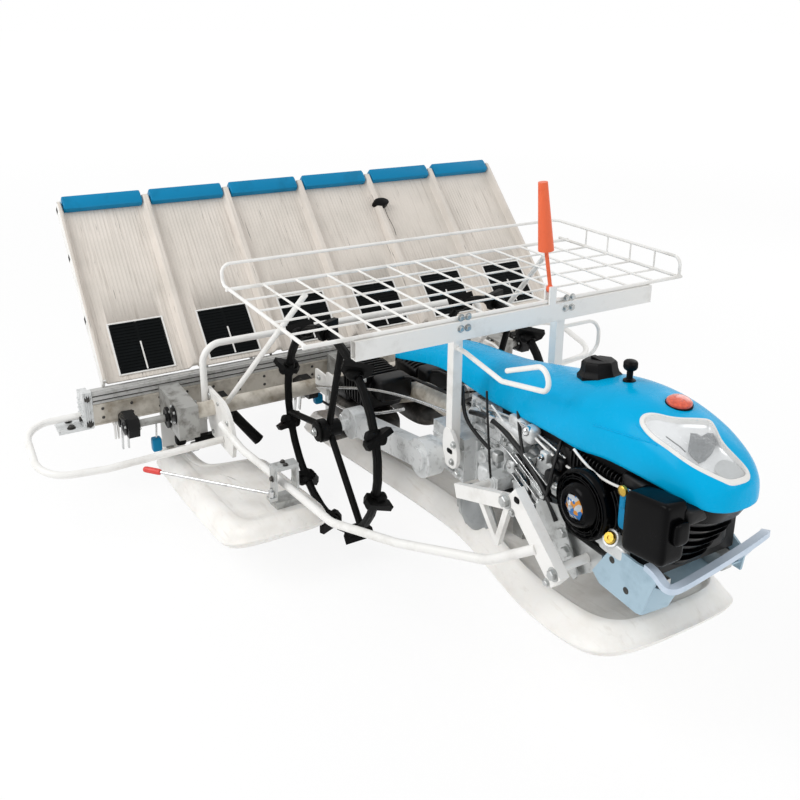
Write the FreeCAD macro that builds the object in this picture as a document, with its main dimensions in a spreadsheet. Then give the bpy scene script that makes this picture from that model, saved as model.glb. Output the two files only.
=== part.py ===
"""Walk-behind six-row rice transplanter, parked on its wheels and the tails of its floats.

Axes: +X forward, +Y to the machine's left, +Z up. The origin is on the floor under the
middle of the whole machine. Every length is in millimetres and every angle in degrees.
Along X, positions in this file count from the wheel axle, which is axle_x ahead of the
origin: box(), at() and the bodies' placements add it.
"""
import FreeCAD, Part

import math
import os
import re

import Sketcher

Vector = FreeCAD.Vector
Placement = FreeCAD.Placement
Rotation = FreeCAD.Rotation

doc = FreeCAD.newDocument("rice_transplanter")
sheet = doc.addObject("Spreadsheet::Sheet", "Dims")

# Driving dimensions: (name, value, what it is)
DIMENSIONS = [
    ("axle_x", 20, "wheel axle ahead of the origin"),
    ("axle_z", 330, "wheel axle above the floor"),
    ("wheel_radius", 330, "axle to the tip of a lug"),
    ("ring_radius", 296, "axle to the middle of the rim tube"),
    ("ring_tube", 18, "diameter of the rubber-covered rim tube"),
    ("half_track", 288, "middle plane of each wheel"),
    ("rim_sides", 30, "straight sides of a wheel's rim"),
    ("lug_count", 10, "lugs on a wheel, slanted left and right in turn"),
    ("lug_width", 84, "lug across the wheel"),
    ("lug_slant", 24, "slant of a lug across the rim"),
    ("spoke_turn", 18, "first spoke away from straight up"),
    ("axle_stub", 30, "diameter of the axle stub in the hub"),
    ("case_inner", 178, "inner face of a swing case"),
    ("case_outer", 224, "outer face of a swing case"),
    ("pivot_x", 400, "swing case pivot"),
    ("pivot_z", 400, "swing case pivot"),
    ("gear_half", 146, "half width of the transmission"),
    ("gear_low", 352, "underside of the transmission"),
    ("gear_top", 470, "top of the transmission's lower case"),
    ("engine_z", 425, "underside of the engine"),
    ("engine_half", 125, "half width of the engine"),
    ("engine_rear", 850, "rear face of the engine"),
    ("engine_front", 1100, "front face of the engine"),
    ("recoil_x", 925, "middle of the recoil starter"),
    ("recoil_z", 520, "middle of the recoil starter"),
    ("hood_skin", 4, "thickness of the hood"),
    ("row_pitch", 300, "spacing of the planted rows"),
    ("table_x", -605, "bottom edge of the seedling table's face"),
    ("table_z", 349, "bottom edge of the seedling table's face"),
    ("table_angle", 45.6, "lean of the table from level"),
    ("table_length", 690, "table face along its slope"),
    ("table_shift", 107, "parked sideways position of the table"),
    ("table_floor", 6, "thickness of the table's floor"),
    ("table_wall", 26, "height of the table's walls above its floor"),
    ("table_rib", 25, "depth of the cross ribs under the table's floor"),
    ("belt_start", 22, "lower edge of a feed belt's window, up the slope"),
    ("belt_width", 175, "feed belt window across"),
    ("belt_length", 180, "feed belt window along the slope"),
    ("beam_x", -585, "middle of the planting beam"),
    ("beam_z", 275, "middle of the planting beam"),
    ("beam_side", 70, "planting beam section"),
    ("beam_wall", 8, "wall of the planting beam"),
    ("beam_half", 840, "half length of the planting beam"),
    ("rail_half", 840, "half length of the table rail"),
    ("cross_x", -372, "middle of the cross tube"),
    ("cross_z", 300, "middle of the cross tube"),
    ("cross_tube", 50, "diameter of the cross tube"),
    ("case_half", 32, "half width of a planting case"),
    ("crank_x", -450, "planting crank shaft"),
    ("crank_z", 262, "planting crank shaft"),
    ("crank_shaft", 24, "diameter of the crank shaft"),
    ("bracket_y", -500, "inner face of the right side bracket"),
    ("bracket_sheet", 12, "thickness of a side bracket"),
    ("rack_z", 794, "middle of the rails of the spare seedling rack"),
    ("rack_rear", -33, "rear rail of the rack"),
    ("rack_front", 482, "front rail of the rack"),
    ("rack_half", 564, "side rail of the rack"),
    ("rack_curb", 55, "height of the rack's raised rail"),
    ("rack_rail", 10, "rail rod diameter"),
    ("rack_wire", 6, "deck wire diameter"),
    ("post_side", 26, "rack post section"),
    ("guard_tube", 22, "white guard tube diameter"),
    ("handle_tube", 28, "handlebar tube diameter"),
    ("pole_y", 108, "sighting pole's hinge"),
    ("pole_z", 826, "sighting pole's hinge"),
    ("float_tail", -640, "rear end of the floats"),
    ("float_tilt", 7.5, "nose-up lean of the floats"),
    ("float_height", 84, "depth of a float"),
    ("float_rim", 26, "width of a float's rim round its sunk top"),
    ("float_sink", 22, "depth of a float's sunk top"),
    ("float_wall", 6, "wall of a float"),
]
for row, (alias, value, note) in enumerate(DIMENSIONS, 1):
    sheet.set(f"A{row}", alias)
    sheet.set(f"B{row}", str(value))
    sheet.setAlias(f"B{row}", alias)
    sheet.set(f"C{row}", note)
doc.recompute()

NODES = []


def dim(name):
    """A driving dimension, read from the sheet."""
    return float(getattr(sheet, name))


def cell(value):
    """A sheet expression: each word names a cell of the sheet, and numbers stay."""
    return re.sub(r"\b([a-z]\w*)", r"Dims.\1", str(value))


def at(x, y, z):
    """A point counted from the wheel axle along X."""
    return Vector(dim("axle_x") + x, y, z)


def keep(label, piece):
    """Name a finished sub-part."""
    piece.Label = label
    NODES.append(piece)
    return piece


# ---------------------------------------------------------------- Part shapes

def local_box(name, x, y, z, start="0"):
    """A Part::Box between three (low, high) pairs of numbers or sheet expressions."""
    item = doc.addObject("Part::Box", name)
    starts = (start, "0", "0")
    for edge, axis, origin, (low, high) in zip(("Length", "Width", "Height"), "xyz", starts, (x, y, z)):
        item.setExpression(edge, cell(f"({high}) - ({low})"))
        item.setExpression("Placement.Base." + axis, cell(f"{origin} + ({low})"))
    return item


def box(name, x, y, z):
    """A box placed in the machine, with X counted from the axle."""
    return local_box(name, x, y, z, "axle_x")


def rod(name, start, end, diameter):
    """A round bar between two points."""
    start = at(*start)
    along = at(*end) - start
    item = doc.addObject("Part::Cylinder", name)
    item.setExpression("Radius", cell(f"({diameter}) / 2"))
    item.Height = along.Length
    item.Placement = Placement(start, Rotation(Vector(0, 0, 1), along))
    return item


def cone(name, start, end, low_radius, top_radius):
    """A round taper between two points."""
    start = at(*start)
    along = at(*end) - start
    item = doc.addObject("Part::Cone", name)
    item.Radius1 = low_radius
    item.Radius2 = top_radius
    item.Height = along.Length
    item.Placement = Placement(start, Rotation(Vector(0, 0, 1), along))
    return item


def bar(name, start, end, width, height):
    """A flat bar between two points: width across the machine, height in the XZ plane."""
    start = at(*start)
    along = at(*end) - start
    item = doc.addObject("Part::Box", name)
    item.Length = along.Length
    item.Width = width
    item.Height = height
    pitch = math.degrees(math.atan2(along.z, math.hypot(along.x, along.y)))
    heading = math.degrees(math.atan2(along.y, along.x))
    turn = Rotation(Vector(0, 0, 1), heading).multiply(Rotation(Vector(0, 1, 0), -pitch))
    to_middle = Placement(Vector(0, -width / 2, -height / 2), Rotation())
    item.Placement = Placement(start, turn).multiply(to_middle)
    return item


def feature(name, shape):
    """A piece whose shape comes from Part's own functions."""
    item = doc.addObject("Part::Feature", name)
    item.Shape = shape
    return item


def tube(name, points, bend, diameter):
    """A round tube along straight runs joined by tangent arcs of one bend radius."""
    points = [at(*point) for point in points]
    edges = []
    last = points[0]
    for before, corner, after in zip(points, points[1:], points[2:]):
        arrive = (corner - before).normalize()
        leave = (after - corner).normalize()
        turn = arrive.getAngle(leave)
        room = 0.48 * min((corner - before).Length, (after - corner).Length)
        trimmed = min(bend * math.tan(turn / 2), room)
        radius = trimmed / math.tan(turn / 2)
        entry = corner - arrive * trimmed
        departure = corner + leave * trimmed
        inward = (leave - arrive).normalize()
        middle = corner + inward * (radius / math.cos(turn / 2) - radius)
        edges.append(Part.LineSegment(last, entry).toShape())
        edges.append(Part.Arc(entry, middle, departure).toShape())
        last = departure
    edges.append(Part.LineSegment(last, points[-1]).toShape())
    ring = Part.Wire(Part.makeCircle(diameter / 2, points[0], points[1] - points[0]))
    return feature(name, Part.Wire(edges).makePipeShell([ring], True, False))


def outline(points):
    """A closed wire through points counted from the axle: a plain point is a corner, and a
    point marked 'arc' is the middle of an arc from the point before it to the one after."""
    edges = []
    here = at(*points[0][:3])
    index = 1
    closed = list(points) + [points[0]]
    while index < len(closed):
        point = closed[index]
        if len(point) > 3:
            end = at(*closed[index + 1][:3])
            edges.append(Part.Arc(here, at(*point[:3]), end).toShape())
            index += 2
        else:
            end = at(*point)
            edges.append(Part.LineSegment(here, end).toShape())
            index += 1
        here = end
    return Part.Wire(edges)


def prism(points, direction):
    """A solid over an outline."""
    return Part.Face(outline(points)).extrude(Vector(*direction))


def side_plate(name, corners, y, thick):
    """A sheet in an XZ plane: corners are (x, z), or (x, z, 'arc') for the middle of an arc."""
    points = [(corner[0], y, corner[1]) + tuple(corner[2:]) for corner in corners]
    return feature(name, prism(points, (0, thick, 0)))


def fuse(name, *pieces):
    """One solid from pieces that touch or run into each other."""
    item = doc.addObject("Part::MultiFuse", name)
    item.Shapes = list(pieces)
    item.Refine = True
    return item


def group(name, *pieces):
    """Separate solids kept as one sub-part."""
    item = doc.addObject("Part::Compound", name)
    item.Links = list(pieces)
    return item


def cut(name, base, *tools):
    """The base less the tools."""
    item = doc.addObject("Part::Cut", name)
    item.Base = base
    item.Tool = tools[0] if len(tools) == 1 else group(name + "_tools", *tools)
    return item


def mirrored(piece):
    """The same piece on the machine's other side."""
    item = doc.addObject("Part::Mirroring", piece.Name + "_mirrored")
    item.Source = piece
    item.Normal = (0, 1, 0)
    return item


def pair(label, right):
    """One sub-part that holds a right-hand piece and its left-hand mirror image."""
    return keep(label, group(label, right, mirrored(right)))


# ---------------------------------------------------------------- PartDesign bodies

def new_body(name):
    """A body whose own origin stands at the machine's axle along X."""
    part = doc.addObject("PartDesign::Body", name)
    part.setExpression("Placement.Base.x", "Dims.axle_x")
    return part


def origin_item(part, role):
    """One of the body's own origin planes or axes."""
    return next(item for item in part.Origin.OriginFeatures if item.Role == role)


def sketch_on(part, name, role):
    """An empty sketch on one of the body's origin planes."""
    item = part.newObject("Sketcher::SketchObject", name)
    item.AttachmentSupport = [(origin_item(part, role), "")]
    item.MapMode = "FlatFace"
    return item


def add_polygon(sketch, corners):
    """Add a closed outline whose corners are held at sheet expressions from the origin."""
    first = sketch.GeometryCount
    count = len(corners)
    for number in range(count):
        ends = [2 * math.pi * step / count for step in (number, number + 1)]
        start, end = [Vector(100 * math.cos(angle), 100 * math.sin(angle), 0) for angle in ends]
        sketch.addGeometry(Part.LineSegment(start, end), False)
    for number in range(count):
        following = first + (number + 1) % count
        sketch.addConstraint(Sketcher.Constraint("Coincident", first + number, 2, following, 1))
    for number, corner in enumerate(corners):
        for kind, value in zip(("DistanceX", "DistanceY"), corner):
            held = sketch.addConstraint(Sketcher.Constraint(kind, -1, 1, first + number, 1, 1.0))
            sketch.setExpression(f"Constraints[{held}]", cell(value))


def polygon(part, name, role, *outlines):
    """A sketch of one or more closed outlines."""
    item = sketch_on(part, name, role)
    for corners in outlines:
        add_polygon(item, corners)
    return item


def disc(part, name, role, x, y, radius):
    """A sketch of one circle, its middle and radius held at sheet expressions."""
    item = sketch_on(part, name, role)
    item.addGeometry(Part.Circle(Vector(100, 100, 0), Vector(0, 0, 1), 10), False)
    for kind, value in (("DistanceX", x), ("DistanceY", y)):
        held = item.addConstraint(Sketcher.Constraint(kind, -1, 1, 0, 3, 1.0))
        item.setExpression(f"Constraints[{held}]", cell(value))
    held = item.addConstraint(Sketcher.Constraint("Radius", 0, 10.0))
    item.setExpression(f"Constraints[{held}]", cell(radius))
    return item


def pad(part, name, profile, length, side="Symmetric"):
    """Material along the sketch's normal: to both sides alike, or to one side."""
    item = part.newObject("PartDesign::Pad", name)
    item.Profile = profile
    item.SideType = side
    item.setExpression("Length", cell(length))
    return item


def pocket(part, name, profile, length):
    """Material taken away to both sides of the sketch."""
    item = part.newObject("PartDesign::Pocket", name)
    item.Profile = profile
    item.SideType = "Symmetric"
    item.setExpression("Length", cell(length))
    return item


def turned(part, name, profile):
    """A full turn of the sketch about its own vertical axis."""
    item = part.newObject("PartDesign::Revolution", name)
    item.Profile = profile
    item.ReferenceAxis = (profile, ["V_Axis"])
    item.Angle = 360
    return item


def round_pattern(part, name, originals, count):
    """Features repeated evenly about the body's Y axis."""
    item = part.newObject("PartDesign::PolarPattern", name)
    item.Originals = originals
    item.Axis = (origin_item(part, "Y_Axis"), [""])
    item.Angle = 360
    item.setExpression("Occurrences", cell(count))
    part.Tip = item
    return item


# ---------------------------------------------------------------- wheels and swing cases

def ring_of(count, radius, start):
    """Corners of a regular polygon, to a tenth of a millimetre."""
    turns = [math.radians(start + number * 360 / count) for number in range(count)]
    return [(round(radius * math.cos(turn), 1), round(radius * math.sin(turn), 1)) for turn in turns]


def lug_features(part, number, slant):
    """Paddle and rim sleeve of one lug, a number of lug spacings from the lowest one."""
    half, tip, root = "lug_width / 2", "-wheel_radius", "16 - ring_radius"
    paddle = polygon(part, f"paddle_outline_{number}", "YZ_Plane",
                     [(f"-{half}", tip), (half, tip), (half, "-ring_radius - 8"), ("26", root),
                      ("-26", root), (f"-{half}", "-ring_radius - 8")])
    sleeve = polygon(part, f"sleeve_outline_{number}", "YZ_Plane",
                     [(x, f"{z} - ring_radius") for x, z in ring_of(8, 17, 22.5)])
    turn = Rotation(Vector(1, 0, 0), number * 360 / dim("lug_count"))
    paddle.AttachmentOffset = Placement(Vector(), turn.multiply(Rotation(Vector(0, 1, 0), slant)))
    sleeve.AttachmentOffset = Placement(Vector(), turn)
    return [pad(part, f"paddle_{number}", paddle, "16"), pad(part, f"sleeve_{number}", sleeve, "42")]


def wheel(label, side):
    """Hub, three spokes, rim of short straight sides and ten lugs."""
    part = new_body(label)
    part.setExpression("Placement.Base.y", cell(f"{side} * half_track"))
    part.setExpression("Placement.Base.z", "Dims.axle_z")
    bore = "axle_stub / 2 + 0.3"
    hub = polygon(part, "hub_section", "XY_Plane",
                  [(bore, "-32"), ("34", "-32"), ("34", "-12"), ("25", "-6"), ("25", "32"), (bore, "32")])
    turned(part, "hub", hub)
    spoke_section = disc(part, "spoke_section", "XY_Plane", "0", "0", "10")
    slope = Rotation(Vector(0, 1, 0), dim("spoke_turn"))
    spoke_section.AttachmentOffset = Placement(slope.multVec(Vector(0, 0, 24)), slope)
    spoke = pad(part, "spoke", spoke_section, "ring_radius - 24", "One side")
    round_pattern(part, "spokes", [spoke], "3")
    sides = int(dim("rim_sides"))
    half_turn, half_tube = 180 / sides, dim("ring_tube") / 2
    rims = [ring_of(sides, (dim("ring_radius") + grow) / math.cos(math.radians(half_turn)), half_turn)
            for grow in (half_tube, -half_tube)]
    pad(part, "rim", polygon(part, "rim_outline", "XZ_Plane", *rims), "ring_tube")
    for number, slant in ((0, dim("lug_slant")), (1, -dim("lug_slant"))):
        round_pattern(part, f"lugs_{number}", lug_features(part, number, slant), "lug_count / 2")
    return keep(label, part)


def swing_case(name, side):
    """Chain case from the transmission's side boss to the wheel, with its axle stub."""
    inner, outer = side * dim("case_inner"), side * dim("case_outer")
    middle, wide = (inner + outer) / 2, abs(outer - inner)
    pivot = (dim("pivot_x"), dim("pivot_z"))
    axle = (0, dim("axle_z"))
    pieces = [
        rod(name + "_pivot_end", (pivot[0], inner, pivot[1]), (pivot[0], outer, pivot[1]), 104),
        rod(name + "_axle_end", (axle[0], inner, axle[1]), (axle[0], outer, axle[1]), 92),
        bar(name + "_web", (axle[0], middle, axle[1]), (pivot[0], middle, pivot[1]), wide - 8, 66),
        rod(name + "_stub", (0, outer, axle[1]), (0, side * 303, axle[1]), "axle_stub"),
        rod(name + "_cover", (pivot[0], outer, pivot[1]), (pivot[0], outer + side * 8, pivot[1]), 62),
    ]
    return keep(name, fuse(name, *pieces))


# ---------------------------------------------------------------- chassis and engine

def transmission():
    """Cast housing with a boss on each side for the swing cases."""
    half = "gear_half"
    lower = box("gear_lower", (345, 490), (f"-{half}", half), ("gear_low", "gear_top"))
    front = box("gear_front", (490, 700), (-96, 96), ("gear_low", "gear_top"))
    arms = box("gear_arms", (590, 634), (f"-{half}", half), (395, 430))
    upper = box("gear_upper", (430, 640), (-85, 85), ("gear_top", 560))
    shaft_case = box("gear_shaft_case", (640, 700), (-48, 48), ("gear_top", 520))
    reach = dim("case_inner") - 0.4
    pivot = (dim("pivot_x"), dim("pivot_z"))
    boss = rod("gear_boss", (pivot[0], -reach, pivot[1]), (pivot[0], reach, pivot[1]), 84)
    return keep("transmission", fuse("transmission", lower, front, arms, upper, shaft_case, boss))


def spine():
    """Frame tube from the transmission back to the middle planting case."""
    height = dim("cross_z") - 10
    run = [(345, 0, 412), (60, 0, 412), (-210, 0, height), (-340, 0, height)]
    return keep("frame_spine", tube("frame_spine", run, 200, 60))


def engine_bed():
    """Two rails, a plate and two side plates that carry the engine."""
    rails = [box(f"bed_rail_{number}", (700, 1120), span, (390, "engine_z"))
             for number, span in enumerate(((-105, -75), (75, 105)))]
    plate = box("bed_plate", (780, 1090), (-140, 140), ("engine_z - 8", "engine_z"))
    corners = [(780, 400), (780, 455), (815, 482), (836, 462), (860, 430), (998, 430), (998, 395),
               (930, 342), (870, 342)]
    cheeks = [side_plate(f"bed_cheek_{number}", corners, y, 6) for number, y in enumerate((-146, 140))]
    return keep("engine_bed", fuse("engine_bed", *rails, plate, *cheeks))


def recoil_starter():
    """Round starter cover with its hub, turned about a cross axis."""
    part = new_body("recoil_starter")
    part.setExpression("Placement.Base.x", cell("axle_x + recoil_x"))
    part.setExpression("Placement.Base.z", cell("recoil_z"))
    face = "-engine_half"
    section = polygon(part, "recoil_section", "XY_Plane",
                      [("0", face), ("88", face), ("88", f"{face} - 34"), ("74", f"{face} - 48"),
                       ("42", f"{face} - 48"), ("36", f"{face} - 62"), ("0", f"{face} - 62")])
    turned(part, "recoil_turn", section)
    return keep("recoil_starter", part)


def front_grille():
    """Black block ahead of the engine with five deep louvres in its leaning face."""
    part = new_body("front_grille")
    low, high, lean, slots = 440, 600, 40, 5
    face = dim("engine_front") + 65
    block = polygon(part, "grille_side", "XZ_Plane",
                    [("engine_front + 1", low), (face, low), (face + lean, high), ("engine_front + 1", high)])
    pad(part, "grille_block", block, "2 * engine_half - 2")
    outlines = []
    for number in range(slots):
        z = low + 22 + number * 26
        x = face + lean * (z - low) / (high - low)
        outlines.append([(x + 12, z - 6), (x - 22, z + 6), (x - 22, z + 18), (x + 12, z + 6)])
    louvres = polygon(part, "grille_slots", "XZ_Plane", *outlines)
    pocket(part, "grille_louvres", louvres, "2 * engine_half - 44")
    return keep("front_grille", part)


def muffler_cover():
    """Bevelled cover on the engine's right side."""
    block = box("muffler_block", (1020, 1170), (-196, -126), (500, 622))
    doc.recompute()
    bevel = doc.addObject("Part::Chamfer", "muffler_cover")
    bevel.Base = block
    bevel.Edges = [(number + 1, 16, 16) for number in range(len(block.Shape.Edges))]
    return keep("muffler_cover", bevel)


def engine():
    """Engine as one plain heavy block, with its oil filler."""
    side = "engine_half"
    keep("engine_block",
         box("engine_block", ("engine_rear", "engine_front"), (f"-{side}", side), ("engine_z", 600)))
    neck = rod("oil_neck", (1034, -125, 483), (1034, -150, 483), 22)
    cap = rod("oil_cap", (1034, -150, 483), (1034, -168, 483), 28)
    keep("oil_filler", fuse("oil_filler", neck, cap))


# ---------------------------------------------------------------- hood

# x, middle, half width, lower edge, shoulder, crown
HOOD_SECTIONS = [
    (-20, 0, 55, 500, 528, 560),
    (240, 0, 66, 563, 590, 628),
    (420, 0, 77, 568, 604, 650),
    (520, 0, 88, 574, 616, 664),
    (700, 0, 110, 598, 650, 703),
    (790, 0, 119, 608, 674, 727),
    (880, -3, 122, 614, 694, 746),
    (960, -6, 119, 629, 700, 752),
    (1030, -9, 115, 634, 696, 747),
    (1100, -13, 107, 634, 687, 732),
    (1160, -17, 93, 627, 674, 709),
    (1198, -20, 71, 621, 662, 690),
    (1218, -22, 47, 620, 653, 677),
    (1226, -23, 24, 620, 650, 667),
]

# Plan of the lamp on the nose, counter-clockwise from its rear edge
LAMP_PLAN = [
    (1016, -68, 640), (1006, -76, 640, "arc"), (1016, -86, 640), (1050, -96, 640), (1112, -95, 640),
    (1165, -84, 640), (1205, -60, 640), (1216, -24, 640, "arc"), (1192, 8, 640), (1140, 8, 640),
    (1100, 24, 640), (1080, 34, 640, "arc"), (1066, 18, 640), (1062, -22, 640),
]


def hood_loft(grow, drop):
    """Loft of arched sections, each grown outwards and let down by a few millimetres."""
    wires = []
    for x, middle, half, low, shoulder, crown in HOOD_SECTIONS:
        if x == HOOD_SECTIONS[-1][0]:
            x = x + grow
        right, left = middle - half - grow, middle + half + grow
        wires.append(outline([
            (x, right, low - drop), (x, left, low - drop), (x, left, shoulder),
            (x, middle, crown + grow, "arc"), (x, right, shoulder)]))
    return Part.makeLoft(wires, True, True)


def hood_and_fittings():
    """Thin cover over the tank and engine, with the lamp, cap, knob and reflector on it."""
    outer = hood_loft(0, 0)
    hollow = hood_loft(-dim("hood_skin"), 2)
    keep("hood", feature("hood", outer.cut(hollow)))
    lamp = hood_loft(5, 0).cut(hood_loft(0.2, 30)).common(prism(LAMP_PLAN, (0, 0, 200)))
    keep("headlamp", feature("headlamp", lamp))
    base = Part.makeCylinder(48, 40, at(795, 0, 700))
    step = Part.makeCylinder(37, 62, at(795, 0, 700))
    cap = base.fuse(step).removeSplitter().cut(outer)
    knob = Part.makeCylinder(8, 40, at(886, 0, 735)).fuse(Part.makeCylinder(16, 20, at(886, 0, 772)))
    keep("fuel_cap", feature("fuel_cap", Part.makeCompound([cap, knob.removeSplitter().cut(outer)])))
    keep("reflector",
         feature("reflector", Part.makeCylinder(22, 30, at(1014, 12, 730)).cut(hood_loft(0.3, 0))))


def bumper():
    """Two drilled side plates, a flat hoop ahead of them and two ties to the engine bed."""
    corners = [(1000, 365), (1120, 365), (1150, 392), (1150, 446), (1120, 468), (1000, 468)]
    plates = [side_plate(f"bumper_plate_{number}", corners, y, 5) for number, y in enumerate((-146, 141))]
    arms = [bar(f"bumper_arm_{number}", (1140, y, 440), (1216, y, 462), 6, 22)
            for number, y in enumerate((-143.5, 143.5))]
    front = box("bumper_front", (1212, 1220), (-146.5, 146.5), (449, 473))
    ties = [box(f"bumper_tie_{number}", (1085, 1115), span, (382, 390))
            for number, span in enumerate(((-146, -80), (80, 146)))]
    holes = [rod(f"bumper_hole_{number}", (x, -200, z), (x, 200, z), 11)
             for number, (x, z) in enumerate(((1030, 440), (1075, 395)))]
    return keep("bumper", cut("bumper", fuse("bumper_frame", *plates, *arms, front, *ties), *holes))


# ---------------------------------------------------------------- seedling rack

def rack_deck():
    """Rails, deck wires and the raised rail as one welded grid."""
    z = dim("rack_z")
    half, rear, front = dim("rack_half"), dim("rack_rear"), dim("rack_front")
    rail, wire, curb = dim("rack_rail"), dim("rack_wire"), dim("rack_curb")
    first, back, side_rod = rear + 30, rear - 22, rail - 1
    pieces = [
        rod("rack_front_rail", (front, -half - 9, z), (front, half + 9, z), rail),
        rod("rack_inner_rail", (first, -half - 9, z), (first, half + 9, z), rail),
        rod("rack_left_rail", (rear, half, z), (front, half, z), side_rod),
        tube("rack_curb_rail",
             [(front, -half, z), (back, -half, z), (back, -half, z + curb), (back, half, z + curb),
              (front, half, z + curb), (front, half, z)], 24, side_rod),
    ]
    spaces = 12
    for number in range(1, spaces):
        y = -half + 2 * half * number / spaces
        pieces.append(rod(f"rack_long_wire_{number}", (first, y, z + 1), (front, y, z + 1), wire))
    spaces = 5
    for number in range(1, spaces):
        x = first + (front - first) * number / spaces
        pieces.append(rod(f"rack_cross_wire_{number}", (x, -half, z - 3), (x, half, z - 3), wire))
        pieces.append(rod(f"rack_curb_wire_{number}", (x, half, z + 1), (x, half, z + curb), wire - 1))
    return keep("seedling_rack", fuse("seedling_rack", *pieces))


def rack_support():
    """Front box beam with the pole's fork, two posts on the transmission and two rear struts."""
    top = "rack_z - 5"
    outside = box("rack_beam_outside", ("rack_front - 12", "rack_front + 13"), (-450, 450),
                  (f"{top} - 47", top))
    inside = box("rack_beam_inside", ("rack_front - 10", "rack_front + 11"), (-450, 450),
                 (f"{top} - 45", f"{top} - 2"))
    beam = cut("rack_beam_tube", outside, inside)
    fork = [box(f"pole_cheek_{number}", span, ("pole_y - 10", "pole_y + 10"), (top, "pole_z + 9"))
            for number, span in enumerate((("rack_front - 12", "rack_front - 6"),
                                           ("rack_front + 7", "rack_front + 13")))]
    pole_x, pole_y, pole_z = dim("rack_front"), dim("pole_y"), dim("pole_z")
    pin = rod("pole_pin", (pole_x - 12, pole_y, pole_z), (pole_x + 13, pole_y, pole_z), 8)
    keep("rack_beam", fuse("rack_beam", beam, *fork, pin))
    inner = "-gear_half"
    outer = "-gear_half - post_side"
    rear = "rack_front - 12 - post_side"
    post = box("post_tube", (rear, "rack_front - 12"), (outer, inner), (406, "rack_z - 9"))
    foot_x = dim("rack_front") - 12 - dim("post_side") / 2
    foot_y = dim("gear_half")
    foot = rod("post_foot", (foot_x, -foot_y, 408), (foot_x, -foot_y - dim("post_side"), 408), "post_side")
    pair("rack_posts", fuse("rack_post", post, foot))
    return rod("strut_rod", (-355, -470, 317), (100, -395, dim("rack_z") - 12), 16)


def rack_hooks():
    """Rod hooks on the posts: one beside the hood, one out to the left."""
    front = dim("rack_front") - 12
    y = dim("gear_half") + dim("post_side") / 2
    right = tube("right_hook",
                 [(front, -y, 712), (front + 30, -y, 712), (650, -y, 692), (822, -y, 728), (800, -y, 782),
                                (668, -y, 724)], 26, 12)
    side = dim("gear_half") + dim("post_side")
    x = front - dim("post_side") / 2
    left = tube("left_hook", [(x, side, 706), (x, 306, 706), (x, 306, 606), (x, side, 606)], 42, 10)
    return keep("rack_hooks", group("rack_hooks", right, left))


def sighting_pole():
    """Aiming pole hinged on the rack beam: an eye, a rod and a tapered sleeve."""
    x, y, z = dim("rack_front"), dim("pole_y"), dim("pole_z")
    eye = rod("pole_eye", (x - 5, y, z), (x + 6, y, z), 20)
    shaft = rod("pole_shaft", (x, y, z), (x - 4, y - 18, 930), 10)
    sleeve = cone("pole_sleeve", (x - 4, y - 18, 928), (x - 6, y - 38, 1100), 20, 12)
    bore = rod("pole_bore", (x - 20, y, z), (x + 20, y, z), 8.6)
    return keep("sighting_pole", cut("sighting_pole", fuse("pole_whole", eye, shaft, sleeve), bore))


# ---------------------------------------------------------------- planting frame

def cross_tube():
    """Tube through the side brackets, in two lengths between the planting cases."""
    x, z = dim("cross_x"), dim("cross_z")
    inner, outer = dim("case_half"), 2 * dim("row_pitch") - dim("case_half")
    right = rod("cross_length", (x, -inner, z), (x, -outer, z), "cross_tube")
    return pair("cross_tube", right)


def planting_beam():
    """Hollow square beam under the rail."""
    sections = []
    for name, half in (("beam_outside", "beam_side / 2"), ("beam_inside", "(beam_side / 2 - beam_wall)")):
        sections.append(box(name, (f"beam_x - {half}", f"beam_x + {half}"), ("-beam_half", "beam_half"),
                            (f"beam_z - {half}", f"beam_z + {half}")))
    return keep("planting_beam", cut("planting_beam", *sections))


def table_rail():
    """Extruded rail with a front lip, on top of the planting beam."""
    part = new_body("table_rail")
    base, bed, lip = "beam_z + beam_side / 2", "table_z - 13", "table_z + 3"
    section = polygon(part, "rail_section", "XZ_Plane",
                      [("beam_x - 34", base), ("beam_x + 30", base), ("beam_x + 30", lip),
                       ("beam_x + 14", lip),
                       ("beam_x + 14", bed), ("beam_x - 34", bed)])
    pad(part, "rail_length", section, "2 * rail_half")
    return keep("table_rail", part)


def rail_ends():
    """Casting that closes each end of the rail and beam, with a flat foot plate."""
    x, z = dim("beam_x"), dim("beam_z")
    top, lip = dim("table_z") - 13, dim("table_z") + 7
    corners = [(x - 55, z - 39), (x + 40, z - 39), (x + 40, lip), (x + 14, lip), (x + 14, top), (x - 55, top)]
    half = dim("rail_half")
    casting = side_plate("end_casting", corners, -half - 28, 28)
    foot = box("end_foot", ("beam_x - 65", "beam_x + 25"), (-945, "-rail_half"), (226, 236))
    return pair("rail_ends", fuse("rail_end", casting, foot))


def planting_case(number, middle):
    """Cast drive case from the cross tube back to the beam, with its crank shaft."""
    rear = "beam_x + beam_side / 2"
    y = f"{middle}"
    case = box(f"case_block_{number}", (rear, "cross_x + 32"), (f"{y} - case_half", f"{y} + case_half"),
               ("crank_z - 36", "cross_z + 32"))
    reach = dim("row_pitch") / 2 + 15
    x, z = dim("crank_x"), dim("crank_z")
    shaft = rod(f"case_shaft_{number}", (x, middle - reach, z), (x, middle + reach, z), "crank_shaft")
    return fuse(f"planting_case_{number}", case, shaft)


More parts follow.
